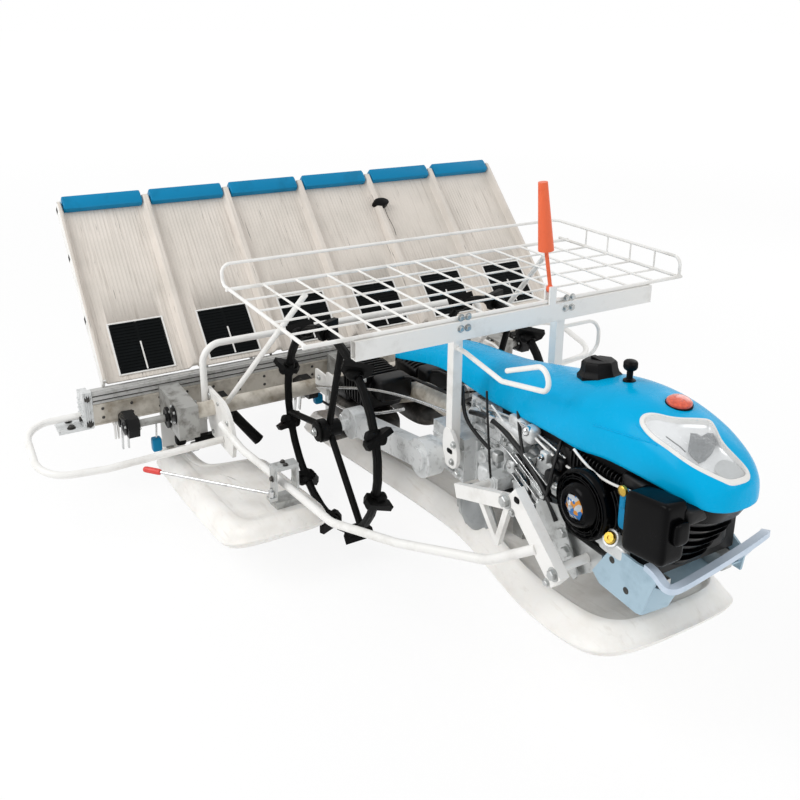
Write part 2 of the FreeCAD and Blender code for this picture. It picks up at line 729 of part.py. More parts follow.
def planting_arm(number, row):
    """Arm on its crank with two thin claws that reach down behind the beam's front face."""
    x, z = dim("crank_x"), dim("crank_z")
    corners = [(x + 45, z), (x + 38, z - 26), (x - 55, z - 36), (x - 95, z - 24), (x - 96, z),
               (x - 50, z + 30), (x + 20, z + 28)]
    arm = side_plate(f"arm_body_{number}", corners, row - 17, 34)
    claws = [bar(f"arm_claw_{number}_{tooth}", (x - 86, row + offset, z - 22),
                 (x - 106, row + offset, z - 122), 4, 12)
             for tooth, offset in enumerate((-9, 9))]
    bore = rod(f"arm_bore_{number}", (x, row - 20, z), (x, row + 20, z), "crank_shaft")
    return cut(f"planting_arm_{number}", fuse(f"arm_whole_{number}", arm, *claws), bore)


def planting_gear():
    pitch = dim("row_pitch")
    cases = [planting_case(number, middle) for number, middle in enumerate((-2 * pitch, 0, 2 * pitch))]
    keep("planting_cases", group("planting_cases", *cases))
    arms = [planting_arm(number, (number - 2.5) * pitch) for number in range(6)]
    keep("planting_arms", group("planting_arms", *arms))


def gate_plate():
    """Red sheet that hangs under the beam behind the middle claws."""
    x = dim("beam_x") + 15
    low = dim("beam_z") - dim("beam_side") / 2
    outline_points = [(x, -360, low), (x, 360, low), (x, 360, 214), (x, 240, 186), (x, -240, 186),
                      (x, -360, 214)]
    return keep("gate_plate", feature("gate_plate", prism(outline_points, (3, 0, 0))))


# ---------------------------------------------------------------- side frame and guards

def side_brackets():
    """White bracket on the cross tube, and the windowed sheet under the beam beside it."""
    y, sheet_thick = dim("bracket_y"), dim("bracket_sheet")
    corners = [(-425, 352), (-300, 352), (-222, 318, "arc"), (-198, 245), (-212, 196), (-395, 196),
               (-425, 232)]
    plate = side_plate("bracket_plate", corners, y - sheet_thick, sheet_thick)
    x, z = dim("cross_x"), dim("cross_z")
    hole = rod("bracket_hole", (x, y - 20, z), (x, y + 20, z), "cross_tube")
    low = "beam_z - beam_side / 2"
    sheet_box = box("window_sheet", ("beam_x + 5", "beam_x + 11"), (-628, -472), (100, low))
    window = box("window", ("beam_x - 5", "beam_x + 20"), (-582, -518), (140, 222))
    return pair("side_brackets",
                group("side_bracket", cut("bracket", plate, hole), cut("windowed", sheet_box, window)))


def table_hoop(brackets):
    """White tube across the machine ahead of the table, on a leg at each side bracket."""
    x, reach = -412, 523
    path = [(x, -reach, 296), (x, -reach, 496), (x, reach, 496), (x, reach, 296)]
    return keep("table_hoop", cut("table_hoop", tube("hoop_tube", path, 60, dim("guard_tube")), brackets))


def guards(brackets, stays):
    """Loop round each end of the rail, and the long pipe forward past the wheel."""
    wide = dim("guard_tube")
    end = -dim("rail_half") - 28
    loop = tube("loop_tube", [(-600, end, 262), (-600, -1040, 262), (-340, -1040, 205), (-320, -860, 200),
                              (-290, -512, 225)], 120, wide)
    pair("guard_loops", cut("guard_loop", loop, brackets))
    pipe = tube("pipe_tube", [(-262, -524, 292), (-150, -502, 250), (90, -464, 238), (330, -440, 240),
                              (560, -380, 290), (800, -290, 352), (905, -243, 425)], 120, wide)
    clear_of_bracket = cut("pipe_at_bracket", pipe, brackets)
    pair("side_guards", cut("side_guard", clear_of_bracket, stays))


def guard_brackets():
    """White angled stay between transmission, engine bed and side guard."""
    y = -235
    side = -dim("gear_half")
    members = [
        bar("stay_rear", (598, y, 410), (815, y, 486), 16, 34),
        bar("stay_front", (815, y, 512), (977, y, 384), 24, 46),
        bar("stay_web_rear", (690, y, 440), (766, y, 356), 12, 16),
        bar("stay_web_front", (762, y, 358), (800, y, 480), 12, 16),
        rod("stay_rear_bolt", (612, y - 6, 412), (612, side, 412), 20),
        rod("stay_front_bolt", (955, y - 6, 400), (955, side, 400), 20),
    ]
    return pair("guard_brackets", fuse("guard_stay", *members))


# ---------------------------------------------------------------- floats

def float_body(name, plan, nose):
    """Sealed hollow hull: plan outline times side outline, with a sunk top, leant nose up."""
    tall = dim("float_height")
    tail = dim("float_tail")
    wide = 2000
    plan_solid = prism(plan, (0, 0, tall))
    side_solid = prism(
        [(tail, -wide / 2, 0), (nose - 190, -wide / 2, 0), (nose - 52, -wide / 2, 22, "arc"),
         (nose, -wide / 2, tall - 16), (nose, -wide / 2, tall), (tail, -wide / 2, tall)],
        (0, wide, 0))
    sunk = Part.Face(outline(plan)).makeOffset2D(-dim("float_rim")).extrude(Vector(0, 0, tall))
    sunk.translate(Vector(0, 0, tall - dim("float_sink")))
    wall = dim("float_wall")
    inside_tall = tall - dim("float_sink") - 2 * wall
    inside = Part.Face(outline(plan)).makeOffset2D(-wall).extrude(Vector(0, 0, inside_tall))
    inside.translate(Vector(0, 0, wall))
    lifted = side_solid.copy()
    lifted.translate(Vector(-wall, 0, wall))
    hollow = inside.common(lifted)
    solid = plan_solid.common(side_solid).cut(sunk).cut(hollow)
    solid.rotate(at(tail, 0, 0), Vector(0, 1, 0), -dim("float_tilt"))
    return feature(name, solid)


def float_deck(x):
    """Height of a float's leaning sunk top at x."""
    lean = math.radians(dim("float_tilt"))
    deck = dim("float_height") - dim("float_sink")
    return (x - dim("float_tail")) * math.tan(lean) + deck / math.cos(lean)


def stay_post(name, x, y, top, hull):
    """Upright post from a float's sunk top, trimmed to its slope."""
    foot = float_deck(x[0]) - 0.3
    return cut(name, box(name + "_post", x, y, (foot, top)), hull)


def centre_float_plan():
    """Narrow between the wheels, wide and round at the nose."""
    right = [(dim("float_tail"), -100, 0), (350, -105, 0), (790, -200, 0), (950, -212, 0),
             (1062, -160, 0, "arc"), (1090, -70, 0)]
    left = [(1090, 70, 0), (1062, 160, 0, "arc"), (950, 212, 0), (790, 200, 0), (350, 105, 0),
            (dim("float_tail"), 100, 0)]
    return right + left


def side_float_plan():
    """A tail between two rows, widening to a broad round-cornered front."""
    tail = dim("float_tail")
    return [(tail, -670, 0), (-300, -690, 0), (90, -690, 0), (175, -655, 0, "arc"), (205, -570, 0),
            (205, -450, 0), (180, -383, 0, "arc"), (110, -357, 0), (-300, -357, 0), (-330, -530, 0),
            (tail, -530, 0)]


def float_hinge(float_side):
    """Steel stirrup on a block on the side float, with the marker rod's pin beside it."""
    block = side_plate("hinge_block",
                       [(52, float_deck(52) - 2), (108, float_deck(108) - 2), (108, 200), (52, 200)],
                       -500, 72)
    base = cut("hinge_block_fitted", block, float_side)
    legs = [box(f"hinge_leg_{number}", (62, 98), span, (200, 300))
            for number, span in enumerate(((-500, -492), (-436, -428)))]
    top = box("hinge_top", (62, 98), (-492, -436), (288, 300))
    ledge = box("marker_ledge", (88, 112), (-522, -500), (210, 220))
    pin = rod("marker_pin", (100, -512, 220), (100, -512, 246), 8)
    return fuse("float_hinge", base, *legs, top, ledge, pin)


def floats():
    centre = keep("float_centre", float_body("float_centre", centre_float_plan(), 1090))
    right = float_body("side_float", side_float_plan(), 205)
    pair("float_sides", right)
    pair("float_hinges", float_hinge(right))
    beam_low = "beam_z - beam_side / 2"
    stays = [stay_post("tail_stay_side", (-614, -586), (-612, -588), beam_low, right)]
    stays.append(mirrored(stays[0]))
    stays.append(stay_post("tail_stay", (-614, -586), (-12, 12), beam_low, centre))
    stays.append(stay_post("nose_stay", (580, 620), (-50, 50), "gear_low", centre))
    cheek = side_plate("cup_cheek",
                       [(395, float_deck(395) - 2), (395, 250), (455, 318, "arc"), (540, 306), (570, 260),
                                     (570, float_deck(570) - 2)], -98, 6)
    tie = rod("cup_tie", (480, -92, 275), (480, 92, 275), 22)
    cup = fuse("cup", cheek, mirrored(cheek), tie)
    stays.append(cut("cup_stay", cup, centre))
    keep("float_stays", group("float_stays", *stays))


# ---------------------------------------------------------------- seedling table

def lay_on_slope(piece):
    """Place a piece made flat, with X up the slope and Z out of the face, on the leaning table."""
    lean = Rotation(Vector(0, 1, 0), dim("table_angle")).multiply(Rotation(Vector(0, 0, 1), 180))
    piece.Placement = Placement(Vector(), lean)
    piece.setExpression("Placement.Base.x", cell("axle_x + table_x"))
    piece.setExpression("Placement.Base.y", cell("table_shift"))
    piece.setExpression("Placement.Base.z", cell("table_z"))
    return piece


def lane_middles():
    """Across positions of the six lanes."""
    return [(number - 2.5) * dim("row_pitch") for number in range(6)]


def table_panel():
    """Ribbed floor with low walls between the lanes, a window for each feed belt and a step for the caps."""
    part = new_body("table_panel")
    length, under, rib = "table_length", "-table_floor", "-table_floor - table_rib"
    side = [(0, 0), (0, under), (230, under), (230, rib), (255, rib), (255, under), (470, under), (470, rib),
            (495, rib), (495, under), (f"{length} - 8", under), (f"{length} - 8", rib), (length, rib),
            (length, -2.5), (f"{length} - 24", -2.5), (f"{length} - 24", 0)]
    floor_side = polygon(part, "floor_side", "XZ_Plane", side)
    pad(part, "table_floor", floor_side, "6 * row_pitch")
    walls = []
    for number in range(7):
        middle = f"{number - 3} * row_pitch"
        low, high = f"{middle} - 18", f"{middle} + 18"
        if number == 0:
            low, high = middle, f"{middle} + 12"
        if number == 6:
            low, high = f"{middle} - 12", middle
        walls.append([(low, -3), (high, -3), (high, "table_wall"), (low, "table_wall")])
    wall_ends = polygon(part, "wall_ends", "YZ_Plane", *walls)
    pad(part, "table_walls", wall_ends, length, "One side")
    windows = []
    low, high = "belt_start", "belt_start + belt_length"
    for y in lane_middles():
        left, right = f"{y} - belt_width / 2", f"{y} + belt_width / 2"
        windows.append([(low, left), (high, left), (high, right), (low, right)])
    window_plan = polygon(part, "window_plan", "XY_Plane", *windows)
    pocket(part, "belt_windows", window_plan, "60")
    return keep("table_panel", lay_on_slope(part))


def table_belts():
    """Feed belts, one in each lane's window, on a shaft behind the panel."""
    belts = []
    for number, y in enumerate(lane_middles()):
        belts.append(local_box(f"belt_{number}", ("belt_start + 2", "belt_start + belt_length - 2"),
                               (f"{y} - belt_width / 2 + 2", f"{y} + belt_width / 2 - 2"), (-28, 3)))
    shaft = doc.addObject("Part::Cylinder", "belt_shaft")
    shaft.Radius = 9
    shaft.setExpression("Height", cell("6 * row_pitch - 20"))
    shaft.Placement = Placement(Vector(60, -3 * dim("row_pitch") + 10, -15), Rotation(Vector(1, 0, 0), -90))
    return keep("table_belts", lay_on_slope(fuse("table_belts", *belts, shaft)))


def table_caps():
    """Coloured cap over the top edge of each lane, with a lip in the step of the lane's floor."""
    length = "table_length"
    caps = []
    for number, y in enumerate(lane_middles()):
        end = local_box(f"cap_end_{number}", (length, f"{length} + 16"), (y - 134, y + 134), (-14, 20))
        lip = local_box(f"cap_lip_{number}", (f"{length} - 24", length), (y - 130, y + 130), (-2.2, 20))
        caps.append(fuse(f"cap_{number}", end, lip))
    return keep("table_caps", lay_on_slope(group("table_caps", *caps)))


def upper_guide():
    """Guide tube behind the table, on two arms from the planting beam."""
    angle = math.radians(dim("table_angle"))
    along, behind = 380, 62
    x = dim("table_x") - along * math.cos(angle) - behind * math.sin(angle)
    z = dim("table_z") + along * math.sin(angle) - behind * math.cos(angle)
    guide = rod("guide_tube", (x, -700, z), (x, 700, z), 30)
    rear = dim("beam_x") - dim("beam_side") / 2
    arms = [tube(f"guide_arm_{number}", [(rear, y, 275), (rear - 120, y, 275), (x, y, z)], 60, 32)
            for number, y in enumerate((-420, 420))]
    return keep("upper_guide", fuse("upper_guide", guide, *arms))


# ---------------------------------------------------------------- handles, cables and markers

def handles():
    """Two handlebars from the planting beam to the grips, with the control console."""
    rear = dim("beam_x") - dim("beam_side") / 2
    bars = []
    for number, side in enumerate((-1, 1)):
        path = [(rear, side * 200, 262), (-760, side * 200, 262), (-930, side * 235, 345),
                (-1150, side * 285, 720), (-1215, side * 290, 765)]
        bars.append(tube(f"handle_{number}", path, 100, dim("handle_tube")))
    tie = rod("handle_tie", (-1010, -252, 488), (-1010, 252, 488), 22)
    frame = keep("handlebars", fuse("handlebars", *bars, tie))
    grip = rod("grip_sleeve", (-1158, -285.6, 725.5), (-1256, -293, 793), 36)
    pair("grips", cut("grip", grip, frame))
    housing = box("console_box", (-1075, -985), (-110, 110), (499, 640))
    levers = [rod(f"console_lever_{number}", (-1040, y, 640), (-1080, y, 745), 10) for number,
              y in enumerate((-60, 0, 60))]
    knobs = [rod(f"console_knob_{number}", (-1078, y, 740), (-1090, y, 772), 24) for number,
             y in enumerate((-60, 0, 60))]
    keep("console", fuse("console", housing, *levers, *knobs))


def cables():
    """Two control cables from the console, under the beam and along the spine."""
    path = [(-1030, -80, 499), (-1030, -80, 440), (-985, -120, 360), (-800, -130, 210), (-600, -90, 174),
            (-340, -80, 196), (-180, -52, 372), (60, -48, 464), (330, -44, 496), (430, -44, 496)]
    return pair("cables", tube("cable", path, 80, 9))


def markers():
    """Side marker rods with coloured tips, folded back along the floats."""
    root = Vector(100, -512, 229)
    tip = Vector(-205, -770, 229)
    along = (tip - root).normalize()
    shaft = rod("marker_shaft", tuple(root), tuple(tip), 8)
    eye = rod("marker_eye", (root.x, root.y, root.z - 8.5), (root.x, root.y, root.z + 8.5), 18)
    sleeve = rod("marker_tip", tuple(tip - along * 45), tuple(tip + along * 10), 18)
    bore = rod("marker_bore", (root.x, root.y, root.z - 20), (root.x, root.y, root.z + 20), 8.6)
    right = cut("marker_whole", fuse("marker_parts", shaft, eye, sleeve), bore)
    keep("marker_right", group("marker_right", right))
    keep("marker_left", mirrored(right))


# ---------------------------------------------------------------- build, check, write

for hand, sign in (("right", -1), ("left", 1)):
    wheel("wheel_" + hand, sign)
    swing_case("swing_case_" + hand, sign)
transmission()
spine()
engine_bed()
engine()
recoil_starter()
front_grille()
muffler_cover()
hood_and_fittings()
bumper()
rack_deck()
strut_rod = rack_support()
rack_hooks()
sighting_pole()
tubes_across = cross_tube()
pair("rack_struts", cut("rack_strut", strut_rod, tubes_across))
planting_beam()
table_rail()
rail_ends()
planting_gear()
gate_plate()
bracket_pair = side_brackets()
stay_pair = guard_brackets()
table_hoop(bracket_pair)
guards(bracket_pair, stay_pair)
floats()
table_panel()
table_belts()
table_caps()
upper_guide()
handles()
cables()
markers()

doc.recompute()
faults = [item.Name for item in doc.Objects if {"Invalid", "Error"} & set(item.State)]
faults += [node.Label for node in NODES if node.Shape.isNull() or not node.Shape.isValid()]
if faults:
    raise SystemExit("failed: " + ", ".join(faults))

os.makedirs("parts", exist_ok=True)
low = [1e9] * 3
high = [-1e9] * 3
for node in NODES:
    node.Shape.exportStep("parts/" + node.Label + ".step")
    span = node.Shape.BoundBox
    low = [min(a, b) for a, b in zip(low, (span.XMin, span.YMin, span.ZMin))]
    high = [max(a, b) for a, b in zip(high, (span.XMax, span.YMax, span.ZMax))]
    print(f"{node.Label:22s} {node.Shape.Volume / 1e6:9.3f} L  solids {len(node.Shape.Solids)}")
print(len(NODES), "nodes; low", [round(v, 1) for v in low], "high", [round(v, 1) for v in high])
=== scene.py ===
# %% [markdown]
# # A walk-behind rice transplanter
# The machine plants six rows of rice. A sloped table at the rear feeds mats of seedlings to
# six planting arms, an engine sits under a blue hood at the front, and the whole machine
# rides on two cage wheels and three floats. The solids of the frame already hold its sizes
# and joints. This file gives them their finishes, and adds the pieces too fine for a solid.
# Everything is in metres: +X is forward, +Y is the machine's left and +Z is up.

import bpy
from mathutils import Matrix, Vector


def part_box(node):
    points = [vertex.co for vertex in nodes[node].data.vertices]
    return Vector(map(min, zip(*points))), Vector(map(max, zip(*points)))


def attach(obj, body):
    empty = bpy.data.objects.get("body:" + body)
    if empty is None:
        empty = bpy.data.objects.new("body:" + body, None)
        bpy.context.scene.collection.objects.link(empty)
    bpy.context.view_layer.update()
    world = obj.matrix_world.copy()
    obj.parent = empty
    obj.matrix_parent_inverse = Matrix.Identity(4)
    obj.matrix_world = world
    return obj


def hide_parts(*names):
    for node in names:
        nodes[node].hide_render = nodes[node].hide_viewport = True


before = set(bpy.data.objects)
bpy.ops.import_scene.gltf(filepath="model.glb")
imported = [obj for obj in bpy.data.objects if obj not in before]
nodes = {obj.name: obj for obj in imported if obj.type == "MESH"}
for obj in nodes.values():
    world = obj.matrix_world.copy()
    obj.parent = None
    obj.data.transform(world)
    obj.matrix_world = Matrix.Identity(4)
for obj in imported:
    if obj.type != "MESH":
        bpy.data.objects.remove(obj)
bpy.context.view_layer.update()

import math

import bmesh
import bpy
import numpy as np
from mathutils import Matrix

# %% [markdown]
# ## Places that the pieces share
# A new piece has to sit on the solids, so its place comes from their boxes. The wheel gives
# the axle, and most pieces along the machine count forward from it. The seedling table leans
# back, so pieces on it are made flat first, with one length up the slope, one across and one
# out of the face, and a small function lays them on the table.

# %% Axle, table and directions
MM = 0.001
TO_FRONT, TO_LEFT, TO_TOP = (1, 0, 0), (0, 1, 0), (0, 0, 1)
TO_REAR, TO_RIGHT = (-1, 0, 0), (0, -1, 0)


def corners(node):
    """Lowest and highest corner of a solid, as arrays."""
    return [np.array(corner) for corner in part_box(node)]


wheel_low, wheel_high = corners("wheel_right")
AXLE = (wheel_low + wheel_high) / 2
panel_low, panel_high = corners("table_panel")
TABLE_LEAN = math.radians(45.6)
TABLE_LENGTH = 0.690
WALL_HEIGHT = 0.026
FLOOR_DEPTH = 0.006
LANE_PITCH = (panel_high[1] - panel_low[1]) / 6
TABLE_MIDDLE = (panel_high[1] + panel_low[1]) / 2
TABLE_FOOT_X = panel_high[0] - WALL_HEIGHT * math.sin(TABLE_LEAN)
TABLE_FOOT_Z = panel_low[2] + FLOOR_DEPTH * math.cos(TABLE_LEAN)


def ahead(points):
    """Points whose X counts forward from the axle, in millimetres, as metres in the frame."""
    return np.asarray(points, float) * MM + (AXLE[0], 0, 0)


def on_table(up, across, out):
    """Points on the leaning table: up the slope, across from its middle, out of its face."""
    up, across, out = np.broadcast_arrays(up, across, out)
    x = TABLE_FOOT_X - up * math.cos(TABLE_LEAN) + out * math.sin(TABLE_LEAN)
    z = TABLE_FOOT_Z + up * math.sin(TABLE_LEAN) + out * math.cos(TABLE_LEAN)
    return np.stack([x, TABLE_MIDDLE + across, z], axis=-1)


print("axle", np.round(AXLE, 3).tolist(), "lane pitch", round(LANE_PITCH, 3),
      "table foot", round(TABLE_FOOT_X, 3), round(TABLE_FOOT_Z, 3))

# %% [markdown]
# ## Surfaces as arrays
# Blender can bevel boxes and spin profiles by hand, but a machine repeats hundreds of bars,
# bolts and ribs. Here each shape is a grid of points from a formula, worked out as one array.
# A patch is its points and its faces, patches are joined before they become a mesh, and one
# mesh holds all the pieces of a kind.

# %% Patches: grids, tubes and turned shapes
def grid(points, wrap=False):
    """Quads over a grid of points (rows, columns, 3). With wrap, each row closes on itself."""
    rows, columns = points.shape[:2]
    row = np.arange(rows - 1)[:, None]
    column = np.arange(columns if wrap else columns - 1)[None, :]
    after = (column + 1) % columns
    quads = np.stack([row * columns + column, (row + 1) * columns + column,
                      (row + 1) * columns + after, row * columns + after], axis=-1)
    return points.reshape(-1, 3), [quads.reshape(-1, 4)]


def capped(rings):
    """Closed rings (rings, points, 3) joined into a tube, with a flat face on each end."""
    points, faces = grid(rings, wrap=True)
    ring = np.arange(rings.shape[1])[None, :]
    return points, faces + [ring[:, ::-1], ring + (rings.shape[0] - 1) * rings.shape[1]]


def across_axis(axis):
    """Two unit vectors at right angles to each other and to each axis."""
    axis = axis / np.linalg.norm(axis, axis=-1, keepdims=True)
    helper = np.eye(3)[np.argmin(np.abs(np.atleast_2d(axis)).max(axis=0))]
    side = np.cross(axis, helper)
    side /= np.linalg.norm(side, axis=-1, keepdims=True)
    return side, np.cross(axis, side)


def tube(path, radius, sides=12):
    """A round section carried along a path: path + radius (cos a side + sin a up).
    The path is in metres and the radius in millimetres, one or as many as the path has points."""
    path = np.asarray(path, float)
    side, up = across_axis(np.gradient(path, axis=0))
    turn = np.linspace(0, 2 * np.pi, sides, endpoint=False)[None, :, None]
    radius = np.broadcast_to(radius, len(path))[:, None, None] * MM
    return capped(path[:, None] + radius * (np.cos(turn) * side[:, None] + np.sin(turn) * up[:, None]))


def turned(profile, centre, axis, sides=32):
    """Pairs (radius, height) in millimetres, turned about an axis:
    centre + height axis + radius (cos a side + sin a up)."""
    profile = np.asarray(profile, float) * MM
    axis = np.asarray(axis, float) / np.linalg.norm(axis)
    side, up = across_axis(axis)
    turn = np.linspace(0, 2 * np.pi, sides, endpoint=False)[None, :, None]
    around = np.cos(turn) * side + np.sin(turn) * up
    return capped(np.asarray(centre) + profile[:, 1, None, None] * axis + profile[:, :1, None] * around)


print("a tube from end to end has", len(tube([(0, 0, 0), (0, 0, 1)], 1)[0]), "points")

# %% Prisms, boxes and rods
def prism(outline, push):
    """A flat outline (points, 3) pushed along a vector."""
    return capped(np.stack([outline, outline + np.asarray(push)]))


def block(low, high):
    """A box between two opposite corners."""
    (x, y, z), (x_end, y_end, z_end) = low, high
    return prism(np.array([(x, y, z), (x_end, y, z), (x_end, y_end, z), (x, y_end, z)]), (0, 0, z_end - z))


def bar(low, high):
    """A box between two opposite corners in millimetres, counted from the axle."""
    return block(ahead(low), ahead(high))


def rod(route, radius, sides=12):
    """A tube of a radius along a route, both in millimetres, the route counted from the axle."""
    return tube(ahead(route), radius, sides)


print("a box has", len(bar((0, 0, 0), (1, 1, 1))[0]), "points")

# %% Curves through and near points
def smooth(points, steps=8):
    """Quadratic B-spline that starts and ends on the first and last point:
    (1-t)^2/2 a + (1/2 + t - t^2) b + t^2/2 c over each three points in a row."""
    points = np.asarray(points, float)
    points = np.concatenate([points[:1], points, points[-1:]])
    step = np.linspace(0, 1, steps, endpoint=False).reshape((1, -1) + (1,) * (points.ndim - 1))
    a, b, c = points[:-2, None], points[1:-1, None], points[2:, None]
    curve = (1 - step) ** 2 / 2 * a + (0.5 + step - step ** 2) * b + step ** 2 / 2 * c
    return np.concatenate([curve.reshape(-1, *points.shape[1:]), points[-1:]])


def rounded_loop(points, steps=6):
    """A closed quadratic B-spline round the corners of a closed outline."""
    points = np.asarray(points, float)
    step = np.linspace(0, 1, steps, endpoint=False)[None, :, None]
    a, b, c = points[:, None], np.roll(points, -1, 0)[:, None], np.roll(points, -2, 0)[:, None]
    curve = (1 - step) ** 2 / 2 * a + (0.5 + step - step ** 2) * b + step ** 2 / 2 * c
    return curve.reshape(-1, points.shape[1])


def through(rows, steps):
    """Catmull-Rom curve through the rows of a table:
    (2b + (c-a)t + (2a-5b+4c-d)t^2 + (3b-a-3c+d)t^3) / 2 over each four rows."""
    rows = np.asarray(rows, float)
    rows = np.vstack([2 * rows[:1] - rows[1:2], rows, 2 * rows[-1:] - rows[-2:-1]])
    a, b, c, d = rows[:-3, None], rows[1:-2, None], rows[2:-1, None], rows[3:, None]
    step = np.linspace(0, 1, steps, endpoint=False)[None, :, None]
    curve = (2 * b + (c - a) * step + (2 * a - 5 * b + 4 * c - d) * step ** 2
             + (3 * b - a - 3 * c + d) * step ** 3) / 2
    return np.vstack([curve.reshape(-1, rows.shape[1]), rows[-2:-1]])


print("a smooth curve near 4 points has", len(smooth(np.eye(4, 3))), "points")

# %% Straps, mirror images and bolts
def strap(path, width, thick, up=(0, 0, 1)):
    """A flat bar along a path: path +- width/2 side +- thick/2 over, with side = direction x up.
    The path is in metres, the width and the thickness are in millimetres."""
    path = np.asarray(path, float)
    along = np.gradient(path, axis=0)
    along /= np.linalg.norm(along, axis=1, keepdims=True)
    side = np.cross(along, up)
    side /= np.linalg.norm(side, axis=1, keepdims=True)
    over = np.cross(side, along)
    side, over = side * width * MM / 2, over * thick * MM / 2
    ring = [path + side + over, path - side + over, path - side - over, path + side - over]
    return capped(np.stack(ring, axis=1))


def flipped(patch):
    """The patch on the machine's other side."""
    points, faces = patch
    return points * (1, -1, 1), [group[:, ::-1] for group in faces]


def both(patches):
    """Right-hand patches with their left-hand mirror images."""
    return patches + [flipped(patch) for patch in patches]


# A bolt head's corners and height as shares of its width, its chamfer, and the washer under it
CORNER, HEAD_TALL, CHAMFER, WASHER_WIDE, WASHER_THICK = 1.15, 0.45, 0.82, 1.35, 1.6


def bolt(centre, axis, width):
    """A hexagon head with a chamfered top, standing on a washer. Its width is in millimetres."""
    radius, height, foot = width / 2 * CORNER, width * HEAD_TALL, WASHER_THICK
    head = [(radius, foot), (radius, foot + height * 0.8), (radius * CHAMFER, foot + height)]
    washer = [(radius * WASHER_WIDE, 0), (radius * WASHER_WIDE, foot)]
    return [turned(head, centre, axis, sides=6), turned(washer, centre, axis, sides=20)]


def bolts(axis, rows):
    """Bolts along one axis, from rows (x, y, z, width) in millimetres, counted from the axle."""
    return [part for *place, width in rows for part in bolt(ahead(place), axis, width)]


def ring_of_bolts(centre, axis, radius, count, width):
    """Bolts at even angles round an axis: centre + radius (cos a side + sin a up)."""
    side, up = [direction.ravel() for direction in across_axis(np.asarray(axis, float))]
    turns = np.arange(count) * 2 * np.pi / count + 0.3
    return [part for turn in turns for part in
            bolt(centre + radius * MM * (math.cos(turn) * side + math.sin(turn) * up), axis, width)]


print("a bolt has", sum(len(points) for points, faces in bolt((0, 0, 0), TO_TOP, 13)), "points")

# %% [markdown]
# ## Finishes
# Most surfaces of the machine are one colour that time has changed a little: paint fades and
# gathers dust, castings stain, plastic scuffs. One recipe covers them all. A broad noise mixes
# a second colour in, a fine noise gives the grain of the surface through a bump, and the broad
# one varies the roughness too. The sizes are real ones in millimetres, so a casting gets sand
# grain and a coat of enamel gets only the long ripple of its spray.

# %% Colours and nodes
def colour(code):
    """A hex sRGB value as linear red, green, blue and alpha."""
    parts = np.array([int(code[i:i + 2], 16) for i in (1, 3, 5)]) / 255
    linear = np.where(parts <= 0.04045, parts / 12.92, ((parts + 0.055) / 1.055) ** 2.4)
    return (*linear.tolist(), 1.0)


def add(tree, kind, inputs, output=0, **settings):
    """One node: settings are its choices, inputs are values, hex colours or other nodes' outputs
    by socket. What comes back is the wanted output, or the node itself where it has none."""
    node = tree.nodes.new("ShaderNode" + kind)
    for name, value in settings.items():
        setattr(node, name, value)
    for socket, value in inputs.items():
        if isinstance(value, bpy.types.NodeSocket):
            tree.links.new(value, node.inputs[socket])
        else:
            node.inputs[socket].default_value = colour(value) if isinstance(value, str) else value
    return node.outputs[output] if len(node.outputs) else node


MATERIALS, SLOTS = {}, {}


def new_material(name, slot=None):
    """An empty node material with its slot in the record, its tree and its Object coordinates."""
    material = bpy.data.materials.new(name)
    material.use_nodes = True
    material.node_tree.nodes.clear()
    if slot:
        MATERIALS[name], SLOTS[name] = material, slot
    return material.node_tree, add(material.node_tree, "TexCoord", {}, "Object")


def finish_surface(tree, inputs):
    """The surface shader and the output that it feeds."""
    add(tree, "OutputMaterial", {"Surface": add(tree, "BsdfPrincipled", inputs)})


def blend(tree, mask, low, high, under, over, most=1.0):
    """One colour over another, from none where the mask is low to the most where it is high."""
    share = add(tree, "MapRange", {0: mask, 1: low, 2: high, 4: most})
    return add(tree, "Mix", {0: share, 6: under, 7: over}, 2, data_type="RGBA")


print("#808080 is", np.round(colour("#808080"), 3).tolist(), "in linear light")

# %% The common recipe and its table
# Noise at which patches start and are full for a share of nought, and how far a whole share
# moves both: the noise lies mostly between 0.3 and 0.75
PATCH_STARTS, PATCH_FULL, SHARE_SHIFT = 0.66, 0.92, 0.36


def common_finish(name, slot, base, second, patch, share, metallic, rough, grain, depth, coat=0.0, gleam=0.5):
    """Base colour with a second one in patches of a size, and a grain of a size and depth."""
    starts, full = PATCH_STARTS - SHARE_SHIFT * share, PATCH_FULL - SHARE_SHIFT * share
    tree, place = new_material(name, slot)
    broad = add(tree, "TexNoise", {"Vector": place, "Scale": 1 / (patch * MM), "Detail": 8.0,
                                   "Roughness": 0.62})
    fine = add(tree, "TexNoise", {"Vector": place, "Scale": 1 / (grain * MM), "Detail": 3.0})
    finish_surface(tree, {
        "Base Color": blend(tree, broad, starts, full, base, second),
        "Roughness": add(tree, "MapRange", {0: broad, 1: 0.3, 2: 0.75, 3: rough - 0.07, 4: rough + 0.12}),
        "Normal": add(tree, "Bump", {"Height": fine, "Distance": depth * MM}),
        "Metallic": metallic, "Coat Weight": coat, "Coat Roughness": 0.06, "Specular IOR Level": gleam})


